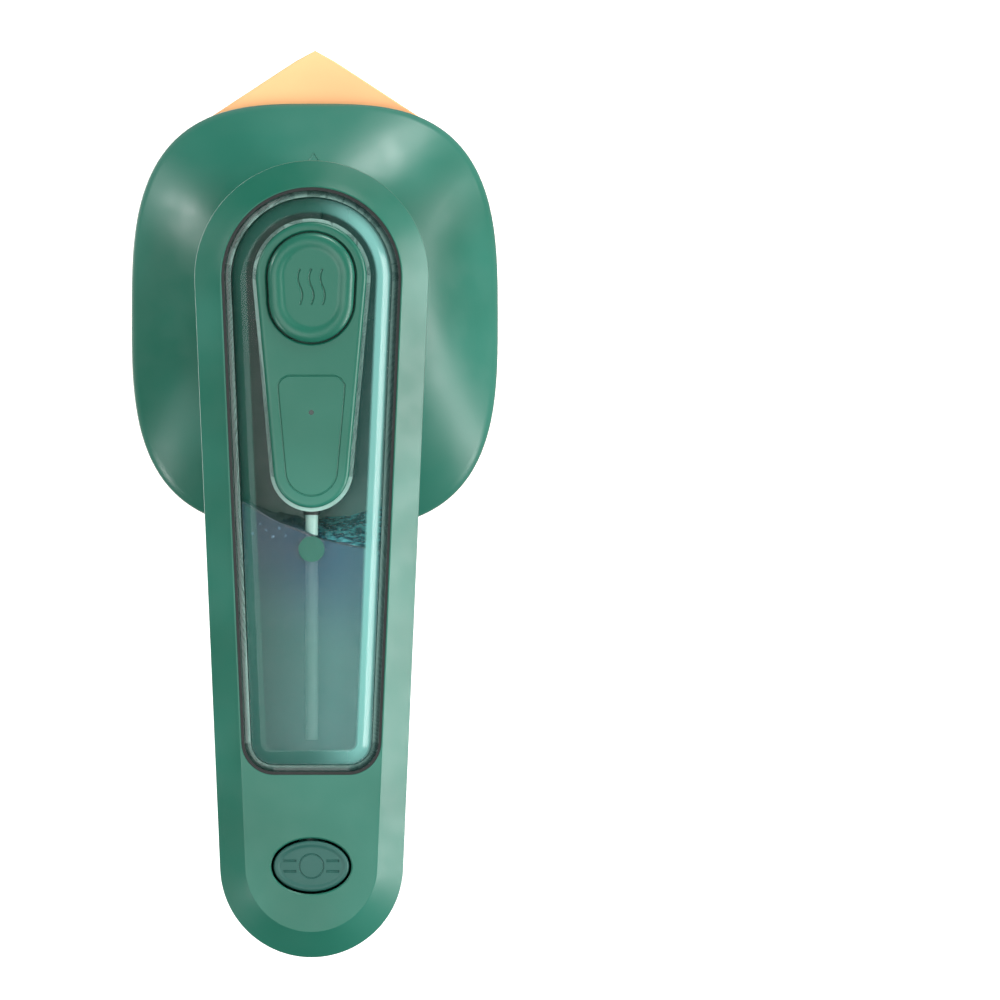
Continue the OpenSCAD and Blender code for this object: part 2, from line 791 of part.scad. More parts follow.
module head_leads() {
    fuse_end = [fuse_l / 2 + 2 + lead_r, fuse_y, z_plate + fuse_r];
    blade = [3.6, thermostat_y, z_plate + thermostat_h + 1.6 + lead_r];
    color("#E3DED0") {
        wire(concat([heater_end, heater_end + [0, -1.8, 0.6], heater_end + [-2, -2.5, 2.9],
            heater_end + [-5.6, -1.2, 5], [18.6, shield_rear - 1, z_shield + shield_t + lead_r + 0.3],
            [14.4, shield_rear + 7, z_lid_top + 0.6], [7.5, -20, z_lid_top + 1.4]], into_sleeve(1)),
            lead_r, [1, 0, 0]);
        wire([[-heater_end.x, heater_end.y, heater_z], [-heater_end.x + 1, heater_end.y - 2, heater_z],
            [-14, fuse_y - 1, z_plate + 2.6], [-fuse_end.x - 2, fuse_y, fuse_end.z],
            [-fuse_end.x, fuse_y, fuse_end.z]], lead_r, [0, 0, 1]);
        wire([fuse_end, fuse_end + [1.2, 0.8, 1.4], [8.4, thermostat_y - 5.4, blade.z - 1.8],
            [7, thermostat_y - 1.6, blade.z + 0.3], blade + [1.2, 0, 0.2], blade], lead_r, [0, 1, 1]);
        wire(concat([[-blade.x, blade.y, blade.z], [-blade.x - 0.6, blade.y + 3, blade.z + 1.6],
            [-5, -30, z_lid_top + 1.4], [-5.6, -14, z_lid_top + 1.4]], into_sleeve(-1)), lead_r, [1, 0, 0]);
    }
}

// ---- handle ----

// How far the rear shell's side has drawn in at a share d of its depth
function draw_in(d) = 1 - pow(1 - pow(d, shell_power), 1 / shell_power);

// Rings of the rear shell from its back up to the seam
function shell_rings(wall, low, high) =
    [for (d = [1, 0.985, 0.94, 0.86, 0.74, 0.58, 0.38, 0.15, 0])
        let (s = draw_in(d), inset = wall + (shell_draw - wall * 0.6) * s)
        lift(taper(handle_r - inset, 0, tail_r - inset, -tail_y + tail_draw * s), high - (high - low) * d)];

// The collar's outer cone, grown by a distance
module collar_cone(grow) {
    top_r = collar_top_r + grow;
    translate([0, 0, z_collar])
        cylinder(h = collar_top_h, r1 = collar_low_r + grow, r2 = top_r);
}

collar_top_r = handle_r - shell_draw * draw_in((z_seam - z_collar_wall) / shell_depth);

module neck_collar() {
    color(green)
    difference() {
        collar_cone(0);
        translate([0, 0, z_collar_top])
            cylinder(h = collar_top_h, r1 = collar_low_r - shell_t, r2 = collar_top_r - shell_t);
        translate([0, 0, z_collar - 1])
            cylinder(h = collar_floor + 2, r = neck_r + swivel_clear);
        // way for the leads into the handle
        translate([-9, -2 * collar_top_r, z_inside])
            cube([18, 2 * collar_top_r, collar_top_h]);
    }
}

module rear_shell() {
    color(green)
    difference() {
        union() {
            difference() {
                loft(shell_rings(0, z_back, z_seam));
                loft(concat(shell_rings(shell_t, z_inside, z_seam),
                    [lift(handle_outline(shell_t), z_seam + 1)]));
            }
            for (y = shell_screw_y)
                translate([0, y, z_back + 1])
                    cylinder(h = shell_t + post_h - 1, r = screw_head_r + 1);
            translate([0, tail_screw_y, z_back + shell_t + 4])
                cylinder(h = z_seam - z_back - shell_t - 4, r = screw_r + 1.6);
        }
        collar_cone(0);
        for (y = shell_screw_y) {
            translate([0, y, z_back - 1])
                cylinder(h = 2.4, r = screw_head_r + 0.3);
            translate([0, y, z_back - 1])
                cylinder(h = 10, r = screw_r + fit);
        }
        translate([0, tail_screw_y, z_back - 1])
            cylinder(h = 10, r = screw_head_r + 0.3);
        translate([0, tail_screw_y, z_back - 1])
            cylinder(h = shell_depth + 4, r = screw_r + fit);
        translate([0, -inlet_y, z_back - 1])
            cylinder(h = 8, r = jack_r - 0.4 + fit);
        translate([0, -inlet_y, z_inside])
            cylinder(h = 2, r = jack_r + fit);
    }
}

module shell_screws() {
    color("gainsboro") {
        for (y = shell_screw_y)
            translate([0, y, z_back + 1.4])
                mirror([0, 0, 1])
                    screw(6);
        translate([0, tail_screw_y, z_back + 9])
            mirror([0, 0, 1])
                screw(shell_depth - 9 + 2.4);
    }
}

function frame_screw_x(y) = handle_half(y) - frame_screw_in;
frame_screw_at = [for (s = [-1, 1]) for (y = frame_screw_y) [s * frame_screw_x(y), y]];

module front_frame() {
    color(green)
    difference() {
        union() {
            difference() {
                loft([lift(handle_outline(0), z_seam), lift(handle_outline(0), z_edge),
                    lift(handle_outline(bevel_w), z_front)]);
                prism(window_outline(0), z_seam - 1, z_front + 1);
                difference() {
                    prism(handle_outline(shell_t), z_seam - 1, z_edge - 0.4);
                    prism(window_outline(-1.4), z_seam - 2, z_front);
                }
            }
            for (p = frame_screw_at)
                translate([p.x, p.y, z_seam])
                    cylinder(h = strip_h, r = 1.8);
            translate([0, tail_screw_y, z_seam])
                cylinder(h = strip_h, r = screw_r + 1.6);
        }
        for (p = frame_screw_at)
            translate([p.x, p.y, z_seam - 1])
                cylinder(h = strip_h, r = thin_screw_r + fit);
        translate([0, tail_screw_y, z_seam - 1])
            cylinder(h = strip_h + 1.2, r = screw_r + fit);
        translate([plug_c.x, plug_c.y, z_plug]) {
            prism(oval(plug_l + 2 * plug_gap, plug_w + 2 * plug_gap), 0, 10);
            prism(oval(throat_out_l + 0.2, throat_out_w + 0.2), -20, 10);
        }
    }
}

module frame_screws() {
    color("gainsboro")
    for (p = frame_screw_at)
        translate([p.x, p.y, z_seam - lug_t])
            mirror([0, 0, 1])
                screw(lug_t + 1.4, thin_screw_r, thin_head_r);
}

module window_gasket() {
    color("#0C1412")
    ring_prism(window_outline(0), window_outline(gasket_w), z_window_low, z_front - 0.2);
}

module tank_cover() {
    color("#4F8C7C", 0.5)
    ring_prism(window_outline(gasket_w), island_outline(well_in), z_window_low, z_window);
}

module tank_seal() {
    color("#DDE3DC") {
        ring_prism(window_outline(gasket_w), window_outline(gasket_w + tank_t), z_tank_top, z_window_low);
        ring_prism(island_outline(well_in - tank_t), island_outline(well_in), z_tank_top, z_window_low);
    }
}

lug_t = 2;

module tank_body() {
    color("#6FA596", 0.6)
    difference() {
        union() {
            difference() {
                prism(window_outline(gasket_w), z_tank, z_tank_top);
                difference() {
                    prism(window_outline(gasket_w + tank_t), z_tank + tank_t, z_tank_top + 1);
                    prism(island_outline(well_in - tank_t), z_tank, z_tank_top + 1);
                }
            }
            translate([0, 0, z_tank])
                at_polar(pump_screw_ring, cover_post_angles)
                    cylinder(h = 6, r = screw_r + 1);
            for (p = frame_screw_at)
                translate([0, 0, z_seam - lug_t])
                    difference() {
                        translate([p.x, p.y, 0]) {
                            cylinder(h = lug_t, r = 2);
                            translate([p.x > 0 ? -4 : 0, -2, 0])
                                cube([4, 4, lug_t]);
                        }
                        prism(window_outline(gasket_w + eps), -1, lug_t + 1);
                    }
            for (y = shell_screw_y)
                translate([0, y, z_inside + post_h])
                    cylinder(h = z_tank - z_inside - post_h + eps, r = screw_r + 1.6);
        }
        prism(island_outline(well_in), z_tank - 1, z_tank_top + 1);
        translate([0, 0, z_tank - 1])
            at_polar(pump_screw_ring, cover_post_angles)
                cylinder(h = 6, r = screw_r + fit);
        for (p = frame_screw_at)
            translate([p.x, p.y, z_seam - lug_t - 1])
                cylinder(h = lug_t + 2, r = thin_screw_r + fit);
        for (y = shell_screw_y)
            translate([0, y, z_inside])
                cylinder(h = z_tank - z_inside + 0.6, r = screw_r + fit);
        // ways through the well's end and the tank's end
        translate([0, -island_y, z_tube])
            rotate([90, 0, 0])
                cylinder(h = island_tail_r + 2, r = tube_r + tube_wall_gap);
        translate([0, tank_end + tank_t + 1, z_port])
            rotate([90, 0, 0])
                cylinder(h = tank_t + 2, r = port_r + 1 + fit);
    }
}

module control_island() {
    slot = [[-panel_w / 2, -panel_top], [panel_w / 2, -panel_top]];
    color(green)
    difference() {
        union() {
            prism(island_outline(0), z_window, z_island);
            prism(island_outline(well_in + 0.2), z_window_low, z_window + eps);
            for (s = [-1, 1])
                translate([0, pcb_y + s * pcb_screw_y, z_pcb + pcb_t])
                    cylinder(h = z_window - z_pcb - pcb_t, r = 2);
        }
        difference() {
            prism(island_outline(well_in + 0.2 + skirt_t), z_window_low - 1, z_window - 0.4);
            for (s = [-1, 1])
                translate([0, pcb_y + s * pcb_screw_y, z_pcb + pcb_t])
                    cylinder(h = z_window - z_pcb - pcb_t, r = 2);
        }
        prism(button_outline(-button_gap), z_window_low, z_island + 1);
        for (s = [-1, 1])
            translate([0, pcb_y + s * pcb_screw_y, z_pcb + pcb_t - 1])
                cylinder(h = 4, r = thin_screw_r + fit);
        ring_prism(panel_outline(0), panel_outline(0.5), z_island - 0.35, z_island + 1);
        translate([0, -led_y, z_window - 2])
            cylinder(h = 10, r = led_r + fit);
    }
}

// Shield-like panel mark: straight top with rounded corners, round lower end
function panel_outline(inset) =
    let (top = 2.4 - inset, tail = 5.9 - inset, x = panel_w / 2 - 2.4, y = -panel_top - 2.4,
        low = -panel_low + 5.9, lean = atan((x + 2.4 - 5.9) / (y - low)))
    concat(arc([x, y], top, -lean, 90, 5), arc([-x, y], top, 90, 180 + lean, 5),
        arc([0, low], tail, 180 + lean, 360 - lean, 16));

module pump_barrel() {
    flange_r = pump_screw_ring + screw_head_r + 0.4;
    color("#DCE4E0")
    difference() {
        union() {
            translate([0, 0, z_pump])
                cylinder(h = z_barrel_top - z_pump, r = barrel_r + barrel_wall);
            translate([0, 0, z_tank - pump_flange_t])
                cylinder(h = pump_flange_t, r = flange_r);
            translate([0, 0, z_pump - 5])
                cylinder(h = 6, r = nipple_r);
            translate([0, -barrel_r - 1, z_inlet])
                rotate([90, 0, 0])
                    cylinder(h = 7, r = tube_r + 1);
        }
        translate([0, 0, z_barrel_floor])
            cylinder(h = z_barrel_top - z_barrel_floor + 1, r = barrel_r);
        translate([0, 0, z_pump - 6])
            cylinder(h = 10, r = nipple_r - 0.6);
        translate([0, 0, z_barrel_floor - 0.7])
            cylinder(h = 2, r = 2);
        translate([0, 0, z_tank - pump_flange_t - 1])
            at_polar(pump_screw_ring, cover_post_angles)
                cylinder(h = 4, r = screw_r + fit);
        translate([0, -barrel_r - barrel_wall, z_inlet])
            rotate([90, 0, 0])
                cylinder(h = 10, r = tube_r + fit);
        translate([0, 0, z_inlet])
            rotate([90, 0, 0])
                cylinder(h = barrel_r + 4, r = tube_bore_r);
    }
}

module pump_cap() {
    color("#DCE4E0")
    tube(barrel_r + barrel_wall, rod_r + 0.3, z_barrel_top, z_barrel_top + cap_t);
}

module pump_screws() {
    color("gainsboro")
    translate([0, 0, z_tank - pump_flange_t])
        at_polar(pump_screw_ring, cover_post_angles)
            mirror([0, 0, 1])
                screw(6);
}

module inlet_valve() {
    color("#E9E4DA")
    translate([0, -barrel_r - barrel_wall, z_inlet])
        rotate([90, 0, 0])
            difference() {
                cylinder(h = 1.4, r = tube_r - fit);
                translate([-0.1, -0.8, -1])
                    cube([0.2, 1.6, 4]);
            }
}

module outlet_valve() {
    color("#E9E4DA")
    translate([0, 0, z_barrel_floor - 0.7])
        difference() {
            cylinder(h = 0.7, r = 1.95);
            translate([-0.1, -0.8, -1])
                cube([0.2, 1.6, 4]);
        }
}

module pump_spring() {
    steps = 12;
    coil_r = barrel_r - spring_wire_r - 0.35;
    low = z_barrel_floor + spring_wire_r + 0.02;
    high = z_piston - spring_wire_r - 0.02;
    color("silver")
    wire([for (i = [0:spring_turns * steps])
        [coil_r * cos(i * 360 / steps), coil_r * sin(i * 360 / steps),
            low + (high - low) * i / (spring_turns * steps)]], spring_wire_r, [0, 0, 1], 6);
}

// The suction tube's line as a solid of round section: along the tank, down the well, on to the pump
module suction_path(r, grow) {
    drop = z_tube - z_inlet - 2 * tube_bend_r;
    start = barrel_r + barrel_wall + 1.6;
    translate([0, -tube_end - grow, z_tube])
        rotate([-90, 0, 0])
            cylinder(h = tube_end - tube_drop_y + grow - tube_bend_r, r = r);
    translate([0, -tube_drop_y - tube_bend_r, z_tube - tube_bend_r])
        rotate([90, 0, 90])
            rotate_extrude(angle = 90)
                translate([tube_bend_r, 0])
                    circle(r);
    translate([0, -tube_drop_y, z_tube - tube_bend_r - drop])
        cylinder(h = drop, r = r);
    translate([0, -tube_drop_y + tube_bend_r, z_inlet + tube_bend_r])
        rotate([90, 0, -90])
            rotate([0, 0, -90])
                rotate_extrude(angle = 90)
                    translate([tube_bend_r, 0])
                        circle(r);
    translate([0, -tube_drop_y + tube_bend_r, z_inlet])
        rotate([-90, 0, 0])
            cylinder(h = tube_drop_y - tube_bend_r - start + grow, r = r);
}

module suction_tube() {
    color("#E4EFEA")
    difference() {
        suction_path(tube_r, 0);
        suction_path(tube_bore_r, 1);
    }
}

// Round boss under the window that holds the tube
module tube_clip() {
    color(green)
    translate([0, -clip_y, z_tube])
        difference() {
            translate([0, 0, -tube_r * 0.4])
                cylinder(h = z_window_low - z_tube + tube_r * 0.4, r = clip_r);
            translate([0, clip_r + 1, 0])
                rotate([90, 0, 0])
                    cylinder(h = 2 * clip_r + 2, r = tube_r + fit);
        }
}

module tube_grommet() {
    mid = -island_y - island_tail_r + well_in;
    color("#2A2A2A")
    translate([0, mid + 0.8, z_tube])
        rotate([90, 0, 0])
            difference() {
                cylinder(h = tank_t + 1.6, r = tube_r + tube_wall_gap - fit);
                translate([0, 0, -1])
                    cylinder(h = tank_t + 4, r = tube_r + eps);
            }
}

throat_out_l = throat_l + 2 * throat_wall;
throat_out_w = throat_w + 2 * throat_wall;

module filler_neck() {
    color("#6FA596")
    translate([0, -tail_y, 0])
        difference() {
            union() {
                prism(oval(throat_out_l, throat_out_w), z_throat, z_plug);
                translate([0, 0, z_port])
                    rotate([-90, 0, 0])
                        cylinder(h = tail_y + tank_end + tank_t, r = port_r + 1);
            }
            prism(oval(throat_l, throat_w), z_throat + throat_wall, z_plug + 1);
            translate([0, 0, z_port])
                rotate([-90, 0, 0])
                    cylinder(h = tail_y, r = port_r);
        }
}

module dc_jack() {
    color("#1B1D1F")
    translate([0, -inlet_y, 0])
        difference() {
            union() {
                translate([0, 0, z_inside])
                    cylinder(h = jack_h, r = jack_r);
                translate([0, 0, z_back])
                    cylinder(h = shell_t + eps, r = jack_r - 0.4);
            }
            translate([0, 0, z_back - 1])
                cylinder(h = inlet_depth + 1, r = inlet_r);
            translate([0, 0, z_back])
                cylinder(h = jack_h, r = 2.85);
            translate([-0.6, -jack_r - 1, z_inside + 6])
                cube([1.2, 2.2, 8]);
        }
}

module jack_pin() {
    color("#D9C37A")
    translate([0, -inlet_y, z_back + inlet_depth + 0.6])
        cylinder(h = jack_h - inlet_depth - 0.6, r = 1);
}

module control_pcb() {
    color("#1F6B3A")
    translate([0, pcb_y, 0])
        difference() {
            prism(rounded(pcb_w, pcb_l, 2), z_pcb, z_pcb + pcb_t);
            for (s = [-1, 1])
                translate([0, s * pcb_screw_y, z_pcb - 1])
                    cylinder(h = 4, r = thin_screw_r + fit);
        }
}

module pcb_screws() {
    color("gainsboro")
    for (s = [-1, 1])
        translate([0, pcb_y + s * pcb_screw_y, z_pcb])
            mirror([0, 0, 1])
                screw(pcb_t + 2.4, thin_screw_r, thin_head_r);
}

module status_led() {
    color("#F2F4F0")
    translate([0, -led_y, z_pcb + pcb_t]) {
        translate([-1.2, -0.8, 0])
            cube([2.4, 1.6, 0.5]);
        translate([0, 0, 0.5 - eps])
            cylinder(h = 0.5, r = 0.7);
    }
}

module light_pipe() {
    low = z_pcb + pcb_t + 1.2;
    color("#F5F7F2", 0.7)
    translate([0, -led_y, low])
        cylinder(h = z_island - 0.1 - low, r = led_r);
}

module handle_leads() {
    start = z_sleeve_top + 0.3;
    bend_z = z_inside + lead_r + 0.2;
    color("#B3282D")
    for (s = [-1, 1])
        wire([[s * (sleeve_r - 1), 0, start], [s * (sleeve_r - 0.9), -0.4, start + 1.6],
            [s * (sleeve_r - 0.6), -2.5, bend_z - 0.6], [s * (sleeve_r - 0.3), -7, bend_z],
            [s * 6, -20, bend_z], [s * 6.5, -60, bend_z], [s * 6, -98, bend_z], [s * 5, -112, bend_z],
            [s * 3.6, -inlet_y + 7.6, bend_z + 2], [s * 3, -inlet_y + 6.8, bend_z + 6],
            [s * 3, -inlet_y + 6.4, z_inside + jack_h + 0.4],
            [s * 2.6, -inlet_y + 4.6, z_inside + jack_h + lead_r + 0.2],
            [s * 2.2, -inlet_y + 2, z_inside + jack_h + lead_r]], lead_r, [1, 0, 0]);
    color("#E0C84A")
    for (s = [-1, 1])
        wire([[s * 2.4, pcb_y - pcb_l / 2 + 2, z_pcb - lead_r], [s * 2.4, pcb_y - pcb_l / 2 + 6, z_pcb - 1.4],
            [s * 3, pcb_y - pcb_l / 2 + 9, z_pcb - 4], [s * 3.4, pcb_y - pcb_l / 2 + 10, z_tank + 2],
            [s * 3.6, pcb_y - pcb_l / 2 + 9, z_tank - 1], [s * 4.6, pcb_y - pcb_l / 2 + 6, bend_z]],
            0.5, [1, 0, 0]);
}

// ---- button and its pump piston ----

module steam_button() {
    crown = z_button - z_island;
    color(green)
    difference() {
        union() {
            loft([lift(button_outline(0), z_button_flange), lift(button_outline(0), z_island),
                lift(button_outline(0.25), z_island + crown * 0.55),
                lift(button_outline(0.9), z_island + crown * 0.88),
                lift(button_outline(2), z_button),
                lift(button_outline(3.2), z_button - 0.12),
                lift(button_outline(4), z_button - 0.3)]);
            prism(button_outline(-0.8), z_button_flange, z_button_flange + 1);
        }
        difference() {
            prism(button_outline(1.6), z_button_flange - 1, z_island - 0.6);
            translate([0, 0, z_button_flange - 1])
                cylinder(h = z_island, r = rod_r + 1.6);
        }
        translate([0, 0, z_button_flange - 1])
            cylinder(h = rod_socket + 1, r = rod_r + fit);
    }
}

rod_socket = 1.8;

module pump_piston() {
    color("#F0F0EC")
    difference() {
        union() {
            translate([0, 0, z_piston])
                cylinder(h = piston_t, r = barrel_r - piston_clear);
            translate([0, 0, z_piston])
                cylinder(h = z_button_flange + rod_socket - z_piston, r = rod_r);
        }
        translate([0, 0, z_piston + piston_t / 2 - 0.75])
            rotate_extrude()
                translate([barrel_r - 1.1, 0])
                    square([2, 1.5]);
    }
}

module piston_seal() {
    color("#262626")
    translate([0, 0, z_piston + piston_t / 2])
        rotate_extrude()
            translate([barrel_r - 0.75, 0])
                intersection() {
                    circle(0.72);
                    translate([-0.34, -0.72])
                        square([1.2, 1.44]);
                }
}

// ---- filler plug ----

module filler_plug() {
    color(green)
    translate([0, -tail_y, 0]) {
        difference() {
            prism(oval(plug_l, plug_w), z_plug, z_front + 0.3);
            // finger ribs each side of a round centre
            for (s = [-1, 1])
                for (y = [-1.26, 1.26])
                    translate([s * 5.2 - 2.1, y - 0.2, z_front - 0.2])
                        cube([4.2, 0.4, 1]);
            tube(3, 2.6, z_front - 0.2, z_front + 1);
        }
        prism(oval(throat_l - 0.6, throat_w - 0.6), z_plug - stem_l, z_plug + eps);
    }
}

soleplate();
sole_gasket();
chamber_seal();
chamber_lid();
lid_screws();
heater_element();
heater_clips();
thermostat();
thermal_fuse();
heat_shield();
shield_screws();
head_cover();
cover_screws();
friction_ring();
slip_washer();
retaining_ring();
ring_screws();
water_hose();
lead_sleeve();
head_leads();
neck_collar();
rear_shell();
front_frame();
frame_screws();
shell_screws();
window_gasket();
tank_cover();
tank_seal();
tank_body();
control_island();
pump_barrel();
pump_cap();
pump_screws();
inlet_valve();
outlet_valve();
pump_spring();
suction_tube();
tube_clip();
tube_grommet();
filler_neck();
dc_jack();
jack_pin();
control_pcb();
pcb_screws();
status_led();
light_pipe();
handle_leads();
steam_button();
pump_piston();
piston_seal();
filler_plug();
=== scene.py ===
"""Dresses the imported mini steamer: smooth shells, sole, window, water, finishes, floor, lights, camera.

All lengths are in metres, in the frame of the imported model: the sole lies on z = 0, its tip points
to +Y and the handle to -Y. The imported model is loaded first, because its boxes give the heights.
"""

import json
import math

import bmesh
import bpy
from bpy.props import FloatProperty, FloatVectorProperty, IntProperty, PointerProperty
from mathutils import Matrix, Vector, kdtree


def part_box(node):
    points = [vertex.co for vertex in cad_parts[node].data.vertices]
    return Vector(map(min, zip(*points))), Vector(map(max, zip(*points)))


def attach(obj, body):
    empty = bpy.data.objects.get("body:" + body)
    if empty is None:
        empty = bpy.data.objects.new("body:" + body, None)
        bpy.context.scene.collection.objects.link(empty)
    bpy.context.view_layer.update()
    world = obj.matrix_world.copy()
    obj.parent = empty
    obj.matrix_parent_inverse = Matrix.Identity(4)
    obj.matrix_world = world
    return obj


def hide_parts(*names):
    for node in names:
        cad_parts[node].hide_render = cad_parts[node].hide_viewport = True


bl_info = {
    "name": "Mini Steamer",
    "version": (1, 0, 0),
    "blender": (4, 5, 0),
    "location": "3D View > Sidebar > Mini Steamer",
    "description": "Dresses a packed hand-held steamer with smooth shells, water and finishes",
    "category": "Object",
}

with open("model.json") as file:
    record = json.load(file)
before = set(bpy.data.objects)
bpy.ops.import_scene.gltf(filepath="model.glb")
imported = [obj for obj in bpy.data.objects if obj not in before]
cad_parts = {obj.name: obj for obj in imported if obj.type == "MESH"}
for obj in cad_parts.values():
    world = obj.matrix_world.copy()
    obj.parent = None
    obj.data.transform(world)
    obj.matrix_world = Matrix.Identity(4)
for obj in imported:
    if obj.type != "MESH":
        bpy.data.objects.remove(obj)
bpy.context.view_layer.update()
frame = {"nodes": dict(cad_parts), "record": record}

MM = 0.001
HEAD, HANDLE, BUTTON, PLUG = "head", "handle", "button", "plug"

# Heights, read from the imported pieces
Z_SOLE_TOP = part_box("sole_gasket")[0].z
Z_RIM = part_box("head_cover")[0].z
Z_NECK_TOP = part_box("head_cover")[1].z
Z_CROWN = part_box("neck_collar")[0].z - 0.3 * MM
Z_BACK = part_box("rear_shell")[0].z
Z_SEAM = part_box("front_frame")[0].z
Z_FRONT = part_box("front_frame")[1].z
Z_WINDOW_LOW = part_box("tank_cover")[0].z
Z_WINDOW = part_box("tank_cover")[1].z
Z_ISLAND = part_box("control_island")[1].z
Z_ISLAND_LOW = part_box("control_island")[0].z
Z_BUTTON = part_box("steam_button")[1].z
Z_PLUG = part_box("filler_plug")[1].z
Z_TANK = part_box("tank_body")[0].z

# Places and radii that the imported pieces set: the collar's cone as (radius, height) pairs, the ways
# for screws and inlet in the handle's back, the steam chamber with its dish and hole, the light
COLLAR_CONE = ((22.6 * MM, 25.2 * MM), (24.35 * MM, 43.5 * MM))
SCREW_WAY_R = 2.4 * MM
BACK_SCREWS_Y = (-62 * MM, -98 * MM)
TAIL_SCREW_BACK = 11.6 * MM
INLET_WAY_R = 5.3 * MM
CHAMBER_IN_R = 13.5 * MM
CHAMBER_OUT_R = 16 * MM
CHAMBER_TOP = 11.2 * MM
DISH_R = 4.65 * MM
STEAM_HOLE_R = 0.55 * MM
LAMP_Y = -32.4 * MM
LAMP_WAY_R = 0.62 * MM

# Water level, in millimetres: the tank's reach to the left and its width, then the surface line at
# the window: where it starts on the left, how far it falls to the right and how deep it sags
TANK_REACH, TANK_WIDTH = 18.2, 36.7
LEVEL_START, LEVEL_FALL, LEVEL_SAG = -52.9, -12.6, -2.6

# Brightness of the pale surroundings in reflections and as light
SURROUND_LEVEL = 0.52


def srgb(red, green, blue, alpha=1.0):
    """Linear colour of a display colour given from 0 to 255."""
    def linear(value):
        value /= 255
        return value / 12.92 if value <= 0.04045 else ((value + 0.055) / 1.055) ** 2.4
    return (linear(red), linear(green), linear(blue), alpha)


# ---- sizes and colours a user may change ----

def length(name, description, millimetres):
    return FloatProperty(name=name, description=description, default=millimetres * MM,
                         unit="LENGTH", precision=4)


def number(name, description, default):
    return FloatProperty(name=name, description=description, default=default)


def colour(name, description, rgb):
    return FloatVectorProperty(name=name, description=description, default=srgb(*rgb)[:3],
                               subtype="COLOR", size=3, min=0, max=1)


class SteamerSizes(bpy.types.PropertyGroup):
    """Sizes of the smooth pieces."""
    head_w: length("Head width", "Width of the head cover", 89.5)
    head_l: length("Head length", "Length of the head cover without the tip", 104)
    head_power: number("Head squareness", "2 is an ellipse, more is squarer", 3.08)
    head_back: length("Head setback", "Distance of the head centre behind the swivel axis", 8.6)
    tip_reach: length("Tip reach", "Distance of the pointed tip ahead of the swivel axis", 56.8)
    sole_inset: length("Sole inset", "Distance of the sole's edge inside the cover's edge", 0.6)
    shoulder: length("Rim height", "Height of the cover's upright rim", 5.8)
    dome_power: number("Dome fullness", "1 is a straight cone", 1.3)
    crown_r: length("Crown radius", "Radius of the cover's flat crown", 23)
    neck_r: length("Neck radius", "Outer radius of the swivel neck", 15.5)
    handle_r: length("Handle head radius", "Radius of the handle's head end", 28.1)
    tail_r: length("Handle tail radius", "Radius of the handle's tail end", 22)
    tail_y: length("Handle length", "Distance from the swivel axis to the tail's centre", 141.2)
    shell_draw: length("Back draw", "How far the back of the rear shell draws in", 17)
    shell_power: number("Back squareness", "Squareness of the rear shell's section", 2.2)
    tail_draw: length("Tail draw", "Extra rounding of the tail towards the back", 4)
    wall: length("Wall", "Wall of the moulded shells", 2.2)
    strip_h: length("Side strip", "Height of the frame's upright side strip", 2.6)
    bevel_w: length("Bevel width", "Width of the frame's bevel", 6.4)
    window_len: length("Window reach", "Distance from the swivel axis to the window's low edge", 119.4)
    window_corner: length("Window corner", "Corner radius at the window's low edge", 8)
    gasket_w: length("Gasket width", "Width of the gasket round the window", 0.8)
    island_r: length("Island radius", "Radius of the control island's head end", 13.3)
    island_tail_r: length("Island tail radius", "Radius of the control island's tail end", 9.1)
    island_y: length("Island length", "Distance from the swivel axis to the island's tail centre", 46.2)
    button_r: length("Button radius", "Radius of the button's head end", 10.4)
    button_tail_r: length("Button tail radius", "Radius of the button's tail end", 10.1)
    button_l: length("Button length", "Overall length of the button", 26.3)
    button_back: length("Button setback", "Distance of the button's middle behind the axis", 2.5)
    plug_l: length("Plug length", "Length of the filler plug across the handle", 18.1)
    plug_w: length("Plug width", "Width of the filler plug along the handle", 12.2)
    plug_gap: length("Plug gap", "Gap round the filler plug", 0.6)
    inlet_y: length("Inlet place", "Distance from the swivel axis to the power inlet", 126.6)
    groove_w: length("Groove width", "Width of the sole's grooves", 1.1)
    smoothness: IntProperty(name="Smoothness", description="Steps along each half of an outline",
                            default=60, min=12, max=120)


class SteamerColours(bpy.types.PropertyGroup):
    """Colours of the finishes."""
    shell: colour("Shell", "Moulded shells and controls", (36, 102, 86))
    shell_deep: colour("Shell, deep", "Slightly darker places of the shells", (22, 88, 71))
    sole: colour("Sole", "Rose-gold coating of the sole", (252, 190, 132))
    # Darker, warmer end of the sole's painted shade gradient
    sole_shaded: colour("Sole, deep", "Warmer places of the sole", (234, 152, 108))
    # Tank seen through the window: painted shade on the left, painted light on the right
    window_shaded_left: colour("Window, left", "Tank seen through the window on the left", (17, 72, 58))
    window_lit_right: colour("Window, right", "Tank seen through the window on the right", (58, 116, 106))
    water_top: colour("Water, top", "Water just below its surface", (13, 50, 78))
    water_low: colour("Water, low", "Water at the bottom of the tank", (62, 130, 120))
    gasket: colour("Gasket", "Rubber round the window", (10, 17, 16))


# ---- outlines: closed rings of (x, y), anticlockwise, the same count of points in a family ----

def arc(cx, cy, radius, start, end, steps):
    """Points from one angle to another, both ends included."""
    return [(cx + radius * math.cos(start + (end - start) * i / steps),
             cy + radius * math.sin(start + (end - start) * i / steps)) for i in range(steps + 1)]


def taper(r1, y1, r2, y2, steps):
    """Two round ends, the larger at y1, joined by straight tangents."""
    lean = math.asin((r1 - r2) / (y1 - y2))
    return (arc(0, y1, r1, -lean, math.pi + lean, steps)
            + arc(0, y2, r2, math.pi + lean, 2 * math.pi - lean, steps))


def signed_power(value, power):
    """Power of a value, with the value's own sign."""
    return math.copysign(abs(value) ** power, value)


def head_ring(s, inset=0.0, count=192):
    """Superellipse of the head."""
    return [((s.head_w / 2 - inset) * signed_power(math.cos(a), 2 / s.head_power),
             (s.head_l / 2 - inset) * signed_power(math.sin(a), 2 / s.head_power) - s.head_back)
            for a in (2 * math.pi * i / count for i in range(count))]


